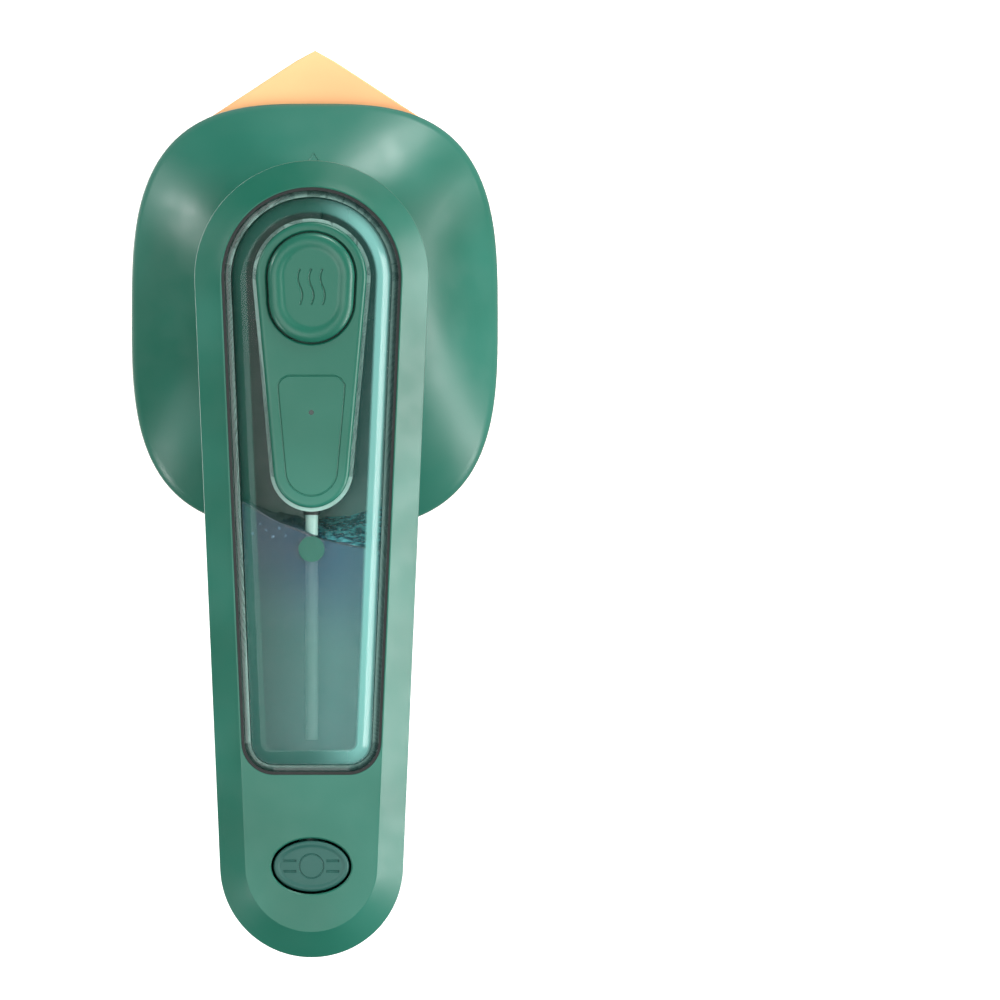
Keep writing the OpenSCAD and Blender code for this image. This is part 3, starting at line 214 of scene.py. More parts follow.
def circle_ring(radius, count=192, cx=0.0, cy=0.0):
    return [(cx + radius * math.cos(a), cy + radius * math.sin(a))
            for a in (2 * math.pi * i / count for i in range(count))]


def sole_ring(s, inset):
    """Head ring whose front is drawn out along straight edges to the tip."""
    ring = head_ring(s, s.sole_inset + inset)
    tip = s.tip_reach - inset * 1.5
    slope = min((tip - y) / x for x, y in ring if x > MM and y > -s.head_back)
    reach = max(x for x, y in ring if y > 0 and x > MM and (tip - y) / x <= slope + 0.002)
    soft = 0.9 * MM

    def drawn(x, y):
        if y < 0 or abs(x) >= reach:
            return (x, y)
        return (x, tip - slope * (math.hypot(x, soft) - soft * 0.6))
    return [drawn(x, y) for x, y in ring]


def handle_ring(s, inset=0.0, shift=0.0):
    """Outline of the handle, drawn in by inset, with the tail's centre moved by shift."""
    return taper(s.handle_r - inset, 0, s.tail_r - inset, -s.tail_y + shift, s.smoothness)


def window_ring(s, inset=0.0):
    """Opening of the frame: the handle's outline inside the bevel, cut off by the low edge."""
    lean = math.asin((s.handle_r - s.tail_r) / s.tail_y)
    r1 = s.handle_r - s.bevel_w - inset
    r2 = s.window_corner - inset
    cy = -s.window_len + s.window_corner
    cx = (r1 - r2 + cy * math.sin(lean)) / math.cos(lean)
    half = s.smoothness // 2
    return (arc(0, 0, r1, -lean, math.pi + lean, s.smoothness)
            + arc(-cx, cy, r2, math.pi + lean, 1.5 * math.pi, half)
            + arc(cx, cy, r2, 1.5 * math.pi, 2 * math.pi - lean, s.smoothness - half - 1))


def island_ring(s, inset=0.0):
    return taper(s.island_r - inset, 0, s.island_tail_r - inset, -s.island_y, s.smoothness)


def button_ring(s, inset=0.0):
    return taper(s.button_r - inset, -s.button_back + s.button_l / 2 - s.button_r,
                 s.button_tail_r - inset, -s.button_back - s.button_l / 2 + s.button_tail_r,
                 s.smoothness)


def oval_ring(s, inset=0.0, count=120):
    return [((s.plug_l / 2 - inset) * math.cos(a), -s.tail_y + (s.plug_w / 2 - inset) * math.sin(a))
            for a in (2 * math.pi * i / count for i in range(count))]


def rounded_ring(width, depth, radius, cx, cy, steps):
    """Rectangle with round corners."""
    x = width / 2 - radius
    y = depth / 2 - radius
    quarter = math.pi / 2
    return (arc(cx + x, cy + y, radius, 0, quarter, steps)
            + arc(cx - x, cy + y, radius, quarter, 2 * quarter, steps)
            + arc(cx - x, cy - y, radius, 2 * quarter, 3 * quarter, steps)
            + arc(cx + x, cy - y, radius, 3 * quarter, 4 * quarter, steps))


def panel_path(s):
    """Panel line: cut-off upper corners, sides along the island's edge, round lower end."""
    lean = math.asin((s.island_r - s.island_tail_r) / s.island_y)
    inset = 2.9 * MM
    tail = s.island_tail_r - inset
    top, low = -23.6 * MM, -s.island_y
    half = (s.island_r - inset) / math.cos(lean)

    def side(y):
        return half + y * math.tan(lean)
    corner = 2.6 * MM
    right = [(side(top) - corner, top), (side(top) - corner * 0.45, top - corner * 0.3),
             (side(top) - corner * 0.12, top - corner * 0.8), (side(top - corner * 1.5), top - corner * 1.5)]
    end = arc(0, low, tail, -lean, -math.pi + lean, 28)
    left = [(-x, y) for x, y in reversed(right)]
    return right + end + left


def lift(ring, z):
    """Puts a flat outline at a height."""
    return [(x, y, z) for x, y in ring]


def blend_rings(a, b, t):
    """Outline part of the way from one ring to another."""
    return [(p[0] * (1 - t) + q[0] * t, p[1] * (1 - t) + q[1] * t) for p, q in zip(a, b)]


# ---- modelling helpers ----

def only(piece):
    """Leaves just this piece selected and active, in object mode."""
    if bpy.context.mode != "OBJECT":
        bpy.ops.object.mode_set(mode="OBJECT")
    bpy.ops.object.select_all(action="DESELECT")
    piece.select_set(True)
    bpy.context.view_layer.objects.active = piece


def move_corners(piece, before, after):
    """Moves each selected corner from its place in one ring to its place in the next."""
    mesh = bmesh.from_edit_mesh(piece.data)
    tree = kdtree.KDTree(len(before))
    for i, point in enumerate(before):
        tree.insert(point, i)
    tree.balance()
    for corner in mesh.verts:
        if corner.select:
            corner.co = after[tree.find(corner.co)[1]]
    bmesh.update_edit_mesh(piece.data)


def ring_piece(name, rings, closed=False):
    """Starts from a circle on the first ring and extrudes it through the others.

    A closed piece joins its last ring to its first, as a hollow shell does. Otherwise both ends
    are filled.
    """
    if bpy.context.mode != "OBJECT":
        bpy.ops.object.mode_set(mode="OBJECT")
    bpy.ops.object.select_all(action="DESELECT")
    fill = "NOTHING" if closed else "NGON"
    bpy.ops.mesh.primitive_circle_add(vertices=len(rings[0]), radius=1, fill_type=fill)
    piece = bpy.context.active_object
    piece.name = name
    piece.data.name = name
    for corner, point in zip(piece.data.vertices, rings[0]):
        corner.co = point
    bpy.ops.object.mode_set(mode="EDIT")
    bpy.ops.mesh.select_all(action="SELECT")
    for before, after in zip(rings, rings[1:]):
        bpy.ops.mesh.extrude_region_move()
        move_corners(piece, before, after)
    if closed:
        bpy.ops.mesh.extrude_region_move()
        move_corners(piece, rings[-1], rings[0])
    bpy.ops.mesh.select_all(action="SELECT")
    bpy.ops.mesh.remove_doubles(threshold=1e-6)
    bpy.ops.mesh.dissolve_degenerate(threshold=1e-7)
    bpy.ops.mesh.normals_make_consistent(inside=False)
    bpy.ops.object.mode_set(mode="OBJECT")
    return piece


def write_bands(piece, rings, bands):
    """Keeps each ring's number on the corners nearest to it, as the attribute "band"."""
    points = [(p, band) for ring, band in zip(rings, bands) for p in ring]
    tree = kdtree.KDTree(len(points))
    for i, (point, _) in enumerate(points):
        tree.insert(point, i)
    tree.balance()
    attribute = piece.data.attributes.new("band", "FLOAT", "POINT")
    for corner, item in zip(piece.data.vertices, attribute.data):
        item.value = points[tree.find(corner.co)[1]][1]


def apply(piece, kind, **settings):
    """Adds one modifier with these settings and applies it."""
    only(piece)
    modifier = piece.modifiers.new(kind.lower(), kind)
    for key, value in settings.items():
        setattr(modifier, key, value)
    bpy.ops.object.modifier_apply(modifier=modifier.name)


def cut(piece, *tools):
    """Cuts the tools out of the piece and removes them."""
    for tool in tools:
        apply(piece, "BOOLEAN", operation="DIFFERENCE", object=tool, solver="EXACT")
        bpy.data.objects.remove(tool)


def two_sided_shell(name, rings, outer):
    """Open cup with an outer and an inner skin: both bottoms are filled and the rim is closed."""
    cup = ring_piece(name + "_outer", rings[:outer])
    above = [(x, y, z + 2 * MM) for x, y, z in rings[-1]]
    hollow = ring_piece(name + "_inner", rings[outer:] + [above])
    cut(cup, hollow)
    cup.name = name
    cup.data.name = name
    return cup


def round_way(name, radius, y, low, high, count=48):
    """Upright cylinder on the middle plane, to be cut out of a piece."""
    return ring_piece(name, [lift(circle_ring(radius, count, 0, y), z) for z in (low, high)])


def join(piece, *others):
    only(piece)
    for other in others:
        other.select_set(True)
    bpy.ops.object.join()
    return piece


def soften(piece, width, segments=3, limit=19):
    """Rounds the sharp edges, then shades smooth with the flat faces kept flat."""
    if width:
        apply(piece, "BEVEL", width=width, segments=segments, limit_method="ANGLE",
              angle_limit=math.radians(limit), use_clamp_overlap=True)
    only(piece)
    bpy.ops.object.shade_smooth_by_angle(angle=math.radians(42))
    apply(piece, "WEIGHTED_NORMAL", mode="FACE_AREA", weight=50, keep_sharp=True)


def dress(piece, body, finish, slot, *nodes):
    """Gives the piece its finish and body and hides the imported nodes that it stands in for."""
    piece.data.materials.clear()
    piece.data.materials.append(finish)
    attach(piece, body)
    if nodes:
        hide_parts(*nodes)
    return piece


def tube_along(name, points, radius, closed=False, sides=5):
    """Round bar along points, made as a curve and turned into a mesh."""
    curve = bpy.data.curves.new(name, "CURVE")
    curve.dimensions = "3D"
    curve.bevel_depth = radius
    curve.bevel_resolution = sides
    curve.use_fill_caps = not closed
    spline = curve.splines.new("POLY")
    spline.points.add(len(points) - 1)
    for target, point in zip(spline.points, points):
        target.co = (*point, 1)
    spline.use_cyclic_u = closed
    bar = bpy.data.objects.new(name, curve)
    bpy.context.scene.collection.objects.link(bar)
    only(bar)
    bpy.ops.object.convert(target="MESH")
    bar = bpy.context.active_object
    only(bar)
    bpy.ops.object.mode_set(mode="EDIT")
    bpy.ops.mesh.select_all(action="SELECT")
    bpy.ops.mesh.remove_doubles(threshold=1e-7)
    bpy.ops.mesh.normals_make_consistent(inside=False)
    bpy.ops.object.mode_set(mode="OBJECT")
    return bar


# ---- finishes ----

class Finish:
    """A node material under construction, with short ways to add and join nodes."""

    def __init__(self, name):
        self.material = bpy.data.materials.new(name)
        self.material.use_nodes = True
        self.tree = self.material.node_tree
        self.tree.nodes.clear()
        self.output = self.tree.nodes.new("ShaderNodeOutputMaterial")
        self.shader = self.tree.nodes.new("ShaderNodeBsdfPrincipled")
        self.tree.links.new(self.shader.outputs[0], self.output.inputs[0])
        self.place = self.tree.nodes.new("ShaderNodeTexCoord").outputs["Object"]

    def node(self, kind, **settings):
        node = self.tree.nodes.new(kind)
        for key, value in settings.items():
            setattr(node, key, value)
        return node

    def link(self, source, target):
        self.tree.links.new(source, target)

    def feed(self, socket, value):
        """Links a socket, or sets a plain value."""
        if isinstance(value, bpy.types.NodeSocket):
            self.link(value, socket)
        else:
            socket.default_value = value

    def math(self, operation, a, b=0.0, c=0.0, clamp=False):
        node = self.node("ShaderNodeMath", operation=operation, use_clamp=clamp)
        for socket, value in zip(node.inputs, (a, b, c)):
            self.feed(socket, value)
        return node.outputs[0]

    def axis(self, letter):
        split = self.node("ShaderNodeSeparateXYZ")
        self.link(self.place, split.inputs[0])
        return split.outputs[letter]

    def span(self, value, low, high, to_low=0.0, to_high=1.0, smooth=True):
        """Maps a value from one range to another and stops at the ends."""
        node = self.node("ShaderNodeMapRange",
                         interpolation_type="SMOOTHSTEP" if smooth else "LINEAR")
        for key, item in zip((0, 1, 2, 3, 4), (value, low, high, to_low, to_high)):
            self.feed(node.inputs[key], item)
        return node.outputs[0]

    def noise(self, scale, detail=2.0, stretch=None, roughness=0.5):
        node = self.node("ShaderNodeTexNoise")
        node.inputs["Scale"].default_value = scale
        node.inputs["Detail"].default_value = detail
        node.inputs["Roughness"].default_value = roughness
        if stretch:
            mapping = self.node("ShaderNodeMapping")
            mapping.inputs["Scale"].default_value = stretch
            self.link(self.place, mapping.inputs["Vector"])
            self.link(mapping.outputs[0], node.inputs["Vector"])
        else:
            self.link(self.place, node.inputs["Vector"])
        return node.outputs["Fac"]

    def mix(self, factor, a, b, blend="MIX"):
        node = self.node("ShaderNodeMix", data_type="RGBA", blend_type=blend)
        self.feed(node.inputs["Factor"], factor)
        self.feed(node.inputs[6], a)
        self.feed(node.inputs[7], b)
        return node.outputs[2]

    def bump(self, height, strength, distance):
        node = self.node("ShaderNodeBump")
        node.inputs["Strength"].default_value = strength
        node.inputs["Distance"].default_value = distance
        self.link(height, node.inputs["Height"])
        self.link(node.outputs[0], self.shader.inputs["Normal"])

    def set(self, **values):
        for key, value in values.items():
            self.feed(self.shader.inputs[key.replace("_", " ")], value)


def opaque(rgb, share=1):
    """Solid colour, darkened to a share of its strength."""
    return (rgb[0] * share, rgb[1] * share, rgb[2] * share, 1.0)


def moulded_plastic(name, light, deep, roughness=0.34, grain=0.05):
    """Satin moulded plastic: slow drift of colour, fine moulding grain, uneven gloss."""
    f = Finish(name)
    drift = f.noise(22, 2)
    f.set(Base_Color=f.mix(f.span(drift, 0.35, 0.65), opaque(deep), opaque(light)))
    f.set(Roughness=f.span(f.noise(140, 3), 0.3, 0.7, roughness - 0.03, roughness + 0.04))
    f.shader.inputs["Specular IOR Level"].default_value = 0.42
    f.bump(f.noise(5200, 2), grain, 0.02 * MM)
    return f.material


def coated_sole(name, light, deep):
    """Rose-gold ceramic coating: a soft warm gradient of painted shade, darker from the tip towards the back
    and the right, with a random cloud of tone, very fine grain, satin gloss.
    """
    f = Finish(name)
    # Painted shade: a straight gradient from the light tip and left side to the darker back and right, plus
    # random tone
    along = f.span(f.math("ADD", f.axis("X"), f.math("MULTIPLY", f.axis("Y"), -0.8)),
                   -60 * MM, 90 * MM, 0, 1, smooth=False)
    shade_and_tone = f.math("ADD", along, f.span(f.noise(30, 2), 0.3, 0.7, -0.08, 0.08))
    f.set(Base_Color=f.mix(shade_and_tone, opaque(light), opaque(deep)), Metallic=0.35)
    f.set(Roughness=f.span(f.noise(900, 3), 0.3, 0.7, 0.36, 0.44))
    f.bump(f.noise(6500, 2), 0.06, 0.01 * MM)
    return f.material


def metal(name, rgb, roughness, stretch=(1, 1, 1)):
    """Bare metal; the stretch draws its grain out along an axis."""
    f = Finish(name)
    grain = f.noise(900, 4, stretch)
    f.set(Base_Color=f.mix(f.span(grain, 0.3, 0.7), opaque(rgb, 0.72), opaque(rgb)), Metallic=1.0)
    f.set(Roughness=f.span(grain, 0.3, 0.7, roughness - 0.06, roughness + 0.08))
    f.bump(grain, 0.08, 0.01 * MM)
    return f.material


def matte(name, rgb, roughness=0.6, scale=700, depth=0.25, drift=0.82):
    """Rubber, ceramic, board and other dull stuff."""
    f = Finish(name)
    grain = f.noise(scale, 4)
    f.set(Base_Color=f.mix(f.span(grain, 0.3, 0.7), opaque(rgb, drift), opaque(rgb)))
    f.set(Roughness=f.span(grain, 0.3, 0.7, roughness - 0.06, roughness + 0.06))
    f.bump(grain, depth, 0.02 * MM)
    return f.material


def braid(name, rgb):
    """Crossed threads of a braided sleeve."""
    f = Finish(name)
    wave = f.node("ShaderNodeTexWave", bands_direction="DIAGONAL")
    wave.inputs["Scale"].default_value = 900
    f.link(f.place, wave.inputs["Vector"])
    f.set(Base_Color=f.mix(wave.outputs["Fac"], opaque(rgb, 0.7), opaque(rgb)), Roughness=0.7)
    f.bump(wave.outputs["Fac"], 0.4, 0.05 * MM)
    return f.material


def clear_plastic(name, rgb, alpha):
    """Glossy see-through plastic with a slight haze."""
    f = Finish(name)
    haze = f.noise(60, 2)
    f.set(Base_Color=f.mix(f.span(haze, 0.3, 0.7), opaque(rgb, 0.85), opaque(rgb)))
    f.set(Roughness=f.span(haze, 0.3, 0.7, 0.1, 0.16), Alpha=alpha)
    return f.material


def tank_finish(name, colours):
    """Tinted tank behind the window: painted shade on the left and painted light on the right, paler towards
    the water at the bottom, with a soft random cloud of tone.
    """
    f = Finish(name)
    # Painted light and shade: the tank darkens to the left and lightens to the right
    across = f.span(f.axis("X"), -15 * MM, 17 * MM)
    lit_tint = f.mix(across, opaque(colours.window_shaded_left), opaque(colours.window_lit_right))
    low = f.span(f.axis("Y"), -60 * MM, -112 * MM)
    lit_tint = f.mix(f.math("MULTIPLY", low, 0.5), lit_tint, opaque(colours.water_low))
    cloud = f.span(f.noise(40, 3), 0.3, 0.7, 0.9, 1.06)
    f.set(Base_Color=f.mix(1.0, lit_tint, cloud, "MULTIPLY"))
    f.set(Roughness=f.span(f.noise(200, 2), 0.3, 0.7, 0.3, 0.4))
    return f.material


def window_finish(name):
    """Clear cover with painted light and shade along its rounded border: a painted shade band at the edge, a
    painted highlight strip on the slope, and painted light towards the right.
    """
    f = Finish(name)
    band = f.node("ShaderNodeAttribute", attribute_name="band").outputs["Fac"]
    # Painted light: every colour of the window grows lighter towards the right
    right = f.span(f.axis("X"), -2 * MM, 14 * MM)
    # Masks for the painted shade band at the outer edge and the painted highlight strip on the slope
    edge = f.math("SUBTRACT", 1.0, f.span(band, 1.2, 2.6))
    strip = f.math("MULTIPLY", f.span(band, 2.2, 3.2), f.span(band, 5.6, 6.6, 1, 0))
    # Painted highlight colour of the strip, painted shade colour of the edge, and the clear green with painted
    # light
    pale = f.mix(right, srgb(34, 98, 84), srgb(126, 190, 182))
    dark = f.mix(right, srgb(8, 40, 34), srgb(16, 52, 50))
    lit_tint = f.mix(right, srgb(20, 74, 62), srgb(60, 124, 116))
    tinted = f.mix(edge, f.mix(strip, lit_tint, pale), dark)
    # The painted highlight strip and the painted shade band are made less clear so that they show
    shade = f.math("MULTIPLY", strip, f.span(right, 0, 1, 0.32, 0.5))
    alpha = f.math("ADD", f.math("ADD", 0.06, shade), f.math("MULTIPLY", edge, 0.75), clamp=True)
    smear = f.span(f.noise(90, 2), 0.3, 0.7, 0.09, 0.15)
    f.set(Base_Color=tinted, Alpha=alpha, Roughness=smear)
    return f.material


def near_level(x):
    """Place along the handle where the water's surface meets the window."""
    t = (x / MM + TANK_REACH) / TANK_WIDTH
    line = LEVEL_START + LEVEL_FALL * t + LEVEL_SAG * math.sin(math.pi * t)
    return (line + 0.25 * math.sin(19 * t)) * MM


def far_level(x):
    """Place along the handle where the water's surface meets the tank's floor."""
    t = (x / MM + TANK_REACH) / TANK_WIDTH
    return (-52.7 - 4.6 * math.sin(math.pi * t) + 1.3 * t + 0.35 * math.sin(23 * t)) * MM


def water_finish(name, colours):
    """Tinted water: deep blue under its surface and paler green towards the bottom, with painted light towards
    the right, painted highlight strips near both sides, painted reflections on the ripples and a painted line
    of shade along the surface.
    """
    f = Finish(name)
    x = f.axis("X")
    share = f.math("MULTIPLY_ADD", x, 1 / (TANK_WIDTH * MM), TANK_REACH / TANK_WIDTH)
    dip = f.math("MULTIPLY", f.math("SINE", f.math("MULTIPLY", share, math.pi)), LEVEL_SAG * MM)
    slope = f.math("MULTIPLY_ADD", share, LEVEL_FALL * MM, LEVEL_START * MM)
    line = f.math("ADD", slope, dip)
    depth = f.math("SUBTRACT", line, f.axis("Y"))
    # Painted light: the water's colours grow lighter towards the right
    right = f.span(x, -14 * MM, 16 * MM)
    top = f.mix(right, opaque(colours.water_top), srgb(32, 92, 124))
    low = f.mix(right, srgb(30, 92, 86), srgb(84, 146, 142))
    body = f.mix(f.span(depth, 3 * MM, 30 * MM), top, low)
    # Painted highlight strip near the right side
    strip = f.math("MULTIPLY", f.span(x, 11.8 * MM, 13.2 * MM),
                   f.span(x, 16.2 * MM, 17.2 * MM, 1, 0))
    body = f.mix(f.math("MULTIPLY", strip, 0.55), body, srgb(128, 196, 190))
    # Painted highlight line near the left side
    left = f.math("MULTIPLY", f.span(x, -16.4 * MM, -15.4 * MM),
                  f.span(x, -14.4 * MM, -13.4 * MM, 1, 0))
    body = f.mix(f.math("MULTIPLY", left, 0.35), body, srgb(76, 142, 128))
    skin = f.span(depth, 0.0, 0.7 * MM, 1, 0)
    ripple = f.noise(420, 4, (1, 2.2, 1), 0.65)
    # Painted reflections: pale and dark ripples above the surface line, darker on the left
    ripple_glints = f.mix(f.span(ripple, 0.42, 0.62), srgb(10, 40, 74), srgb(96, 190, 196))
    ripple_glints = f.mix(f.span(x, -6 * MM, 8 * MM), srgb(16, 46, 70), ripple_glints)
    body = f.mix(f.math("GREATER_THAN", f.math("MULTIPLY", depth, -1), 0.1 * MM), body, ripple_glints)
    # Painted shade: a dark line just under the surface, made more opaque
    dark = f.math("MULTIPLY", skin, f.math("GREATER_THAN", depth, -0.1 * MM))
    body = f.mix(dark, body, srgb(8, 18, 30))
    f.set(Base_Color=body, Roughness=f.span(ripple, 0.3, 0.7, 0.08, 0.2))
    f.set(Alpha=f.math("ADD", 0.62, f.math("MULTIPLY", skin, 0.36), clamp=True))
    return f.material


def slot_finishes(colours):
    """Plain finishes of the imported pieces, one for each material slot."""
    shell = moulded_plastic("moulded green", colours.shell, colours.shell_deep)
    return {
        "green_shell": shell,
        "sole_copper": coated_sole("rose-gold coating", colours.sole, colours.sole_shaded),
        "cast_metal": metal("die-cast metal", (0.72, 0.72, 0.73), 0.42),
        "steel": metal("turned steel", (0.62, 0.63, 0.64), 0.3, (1, 1, 9)),
        "heater_steel": metal("heat-tinted steel", (0.36, 0.34, 0.32), 0.4, (1, 6, 1)),
        "brass_part": metal("brass", (0.78, 0.62, 0.28), 0.28),
        "insulator": matte("dark insulator", (0.012, 0.016, 0.016), 0.6),
        "gasket_black": matte("black rubber", colours.gasket, 0.5),
        "silicone_red": matte("red silicone", (0.5, 0.09, 0.05), 0.5),
        "silicone_clear": matte("milky silicone", (0.36, 0.60, 0.53), 0.35, 300, 0.1, 0.9),
        "ceramic_body": matte("steatite ceramic", (0.68, 0.6, 0.5), 0.55),
        "shield_mica": matte("mica sheet", (0.55, 0.51, 0.42), 0.4, 260),
        "glass_sleeve": braid("braided glass sleeve", (0.72, 0.69, 0.6)),
        "lead_red": matte("red lead", (0.4, 0.03, 0.03), 0.42),
        "window_clear": clear_plastic("clear window", (0.12, 0.30, 0.25), 0.35),
        "pump_plastic": matte("natural plastic", (0.68, 0.72, 0.69), 0.4),
        "board_green": matte("circuit board", (0.03, 0.16, 0.06), 0.45, 400),
        "lamp_clear": clear_plastic("lamp lens", (0.012, 0.03, 0.026), 1.0),
        "black_plastic": matte("black plastic", (0.011, 0.012, 0.013), 0.45),
    }


FINISHES = {}


def sizes_and_colours(context):
    return context.scene.steamer_sizes, context.scene.steamer_colours


# ---- operators: one for each piece or group ----

class STEAMER_OT_finishes(bpy.types.Operator):
    """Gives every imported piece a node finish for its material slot"""
    bl_idname = "steamer.finishes"
    bl_label = "Finishes"

    def execute(self, context):
        _, colours = sizes_and_colours(context)
        FINISHES.update(slot_finishes(colours))
        # The tank's finish paints shade on its left and light on its right
        FINISHES["tank_clear"] = tank_finish("tinted tank", colours)
        for part in frame["record"]["subparts"]:
            node = frame["nodes"][part["node"]]
            node.data.materials.clear()
            node.data.materials.append(FINISHES[part["material_slot"]])
        return {"FINISHED"}


class STEAMER_OT_sole(bpy.types.Operator):
    """Sole with a pointed tip, rounded edge, three groove loops and a dished steam hole"""
    bl_idname = "steamer.sole"
    bl_label = "Sole"

    def execute(self, context):
        s, _ = sizes_and_colours(context)
        edge = 0.7 * MM
        chamfer = 0.25 * MM
        rings = [lift(sole_ring(s, chamfer), Z_SOLE_TOP), lift(sole_ring(s, 0), Z_SOLE_TOP - chamfer)]
        for i in range(6):
            a = math.pi / 2 * i / 5
            rings.append(lift(sole_ring(s, edge * (1 - math.cos(a))), edge * (1 - math.sin(a))))
        sole = ring_piece("sole_plate", rings)
        loop_w, loop_l, loop_corner, loop_step = 39 * MM, 55 * MM, 8 * MM, 14 * MM
        radius = s.groove_w * 0.55
        loops = []
        for i in range(3):
            grow = loop_step * i - s.groove_w
            path = rounded_ring(loop_w + grow, loop_l + grow, loop_corner + grow / 2,
                                0, -s.head_back, 14)
            loops.append(tube_along("groove", [(x, y, -radius * 0.15) for x, y in path], radius, True))
        dish = ring_piece("dish", [lift(circle_ring(DISH_R + d, 64, 0, -s.head_back), z)
                                   for d, z in ((0.3 * MM, -1 * MM), (0.3 * MM, -0.01 * MM),
                                                (0, 0.25 * MM), (-0.35 * MM, 0.5 * MM))])
        hole = round_way("hole", STEAM_HOLE_R, -s.head_back, -2 * MM, 2.4 * MM, 24)
        cut(sole, *loops, dish, hole)
        foot = Z_SOLE_TOP - 0.5 * MM
        wall = ((CHAMBER_IN_R, foot), (CHAMBER_IN_R, CHAMBER_TOP),
                (CHAMBER_OUT_R, CHAMBER_TOP), (CHAMBER_OUT_R, foot))
        chamber = ring_piece("chamber", [lift(circle_ring(r, 96, 0, -s.head_back), z) for r, z in wall],
                             closed=True)
        join(sole, chamber)
        soften(sole, 0)
        dress(sole, HEAD, FINISHES["sole_copper"], "sole_copper", "soleplate")
        return {"FINISHED"}


class STEAMER_OT_cover(bpy.types.Operator):
    """Head cover: upright rim, rounded shoulder, sloping dome, crown and neck, with its pointer"""
    bl_idname = "steamer.cover"
    bl_label = "Head cover"

    def execute(self, context):
        s, _ = sizes_and_colours(context)
        shoulder = Z_RIM + s.shoulder
        rise = Z_CROWN - shoulder

        def dome(t, inset, drop):
            flat = blend_rings(head_ring(s, inset), circle_ring(s.crown_r - inset), t)
            return lift(flat, shoulder - drop + rise * (1 - (1 - t) ** s.dome_power))
        steps = [i / 16 for i in range(1, 16)]
        rim = [(0.3 * MM, Z_RIM), (0, Z_RIM + 0.4 * MM), (0, shoulder - 0.9 * MM),
               (0.1 * MM, shoulder - 0.45 * MM), (0.36 * MM, shoulder - 0.08 * MM)]
        bore = s.neck_r - 2.6 * MM
        crown = [(s.crown_r + 0.6 * MM, Z_CROWN - 0.25 * MM), (s.crown_r - 0.4 * MM, Z_CROWN),
                 (s.neck_r, Z_CROWN), (s.neck_r, Z_NECK_TOP), (bore, Z_NECK_TOP),
                 (bore, Z_CROWN - 2.9 * MM)]
        rings = [lift(head_ring(s, inset), z) for inset, z in rim]
        rings += [dome(t, 0, 0) for t in [0.032] + steps]
        rings += [lift(circle_ring(r), z) for r, z in crown]
        rings += [dome(t, s.wall, s.wall) for t in (0.9, 0.6, 0.3, 0.05)]
        rings += [lift(head_ring(s, s.wall), shoulder - s.wall), lift(head_ring(s, s.wall), Z_RIM)]
        cover = ring_piece("cover_shell", rings, closed=True)
        soften(cover, 0)
        dress(cover, HEAD, FINISHES["green_shell"], "green_shell", "head_cover")

        def on_dome(x, y):
            """Height of the dome above a place straight ahead of the neck."""
            edge = s.head_l / 2 - s.head_back
            t = (edge - y) / (edge - s.crown_r)
            return (x, y, shoulder + rise * (1 - (1 - t) ** s.dome_power) + 0.02 * MM)
        half, foot_y, tip_y = 1.5 * MM, 28.6 * MM, 31.0 * MM
        corners = [on_dome(-half, foot_y), on_dome(0, tip_y), on_dome(half, foot_y)]
        mark = tube_along("pointer_mark", corners, 0.17 * MM)
        soften(mark, 0)
        dress(mark, HEAD, FINISHES["green_shell"], "green_shell")
        return {"FINISHED"}


class STEAMER_OT_rear_shell(bpy.types.Operator):
    """Rounded rear shell of the handle, with the inlet's hole and the screws' recesses"""
    bl_idname = "steamer.rear_shell"
    bl_label = "Rear shell"

    def execute(self, context):
        s, _ = sizes_and_colours(context)

        def section(depth, wall, low, high):
            drawn = 1 - (1 - depth ** s.shell_power) ** (1 / s.shell_power)
            inset = wall + (s.shell_draw - wall * 0.6) * drawn
            return lift(handle_ring(s, inset, s.tail_draw * drawn), high - (high - low) * depth)
        seam = Z_SEAM - 0.12 * MM
        depths = [0, 0.15, 0.28, 0.4, 0.52, 0.63, 0.73, 0.81, 0.88, 0.93, 0.965, 0.986, 0.996, 1]
        rings = [lift(handle_ring(s, 0.22 * MM), seam)]
        rings += [section(d, 0, Z_BACK, seam - 0.25 * MM) for d in depths]
        outer = len(rings)
        rings += [section(d, s.wall, Z_BACK + s.wall, seam) for d in (1, 0.97, 0.88, 0.73, 0.5, 0.2, 0)]
        shell = two_sided_shell("rear_shell_skin", rings, outer)
        grow = 0.02 * MM
        tools = [ring_piece("collar_way", [lift(circle_ring(r + grow, 96), z) for r, z in COLLAR_CONE])]
        for y in BACK_SCREWS_Y:
            tools.append(round_way("screw_way", SCREW_WAY_R, y, Z_BACK - 1 * MM, Z_BACK + 1.4 * MM))
        tools.append(round_way("inlet_way", INLET_WAY_R, -s.inlet_y, Z_BACK - 1 * MM,
                               Z_BACK + 8 * MM, 64))
        tools.append(round_way("tail_way", SCREW_WAY_R, -s.tail_y - TAIL_SCREW_BACK,
                               Z_BACK - 1 * MM, Z_BACK + 8.8 * MM))
        cut(shell, *tools)
        soften(shell, 0)
        dress(shell, HANDLE, FINISHES["green_shell"], "green_shell", "rear_shell")
        return {"FINISHED"}


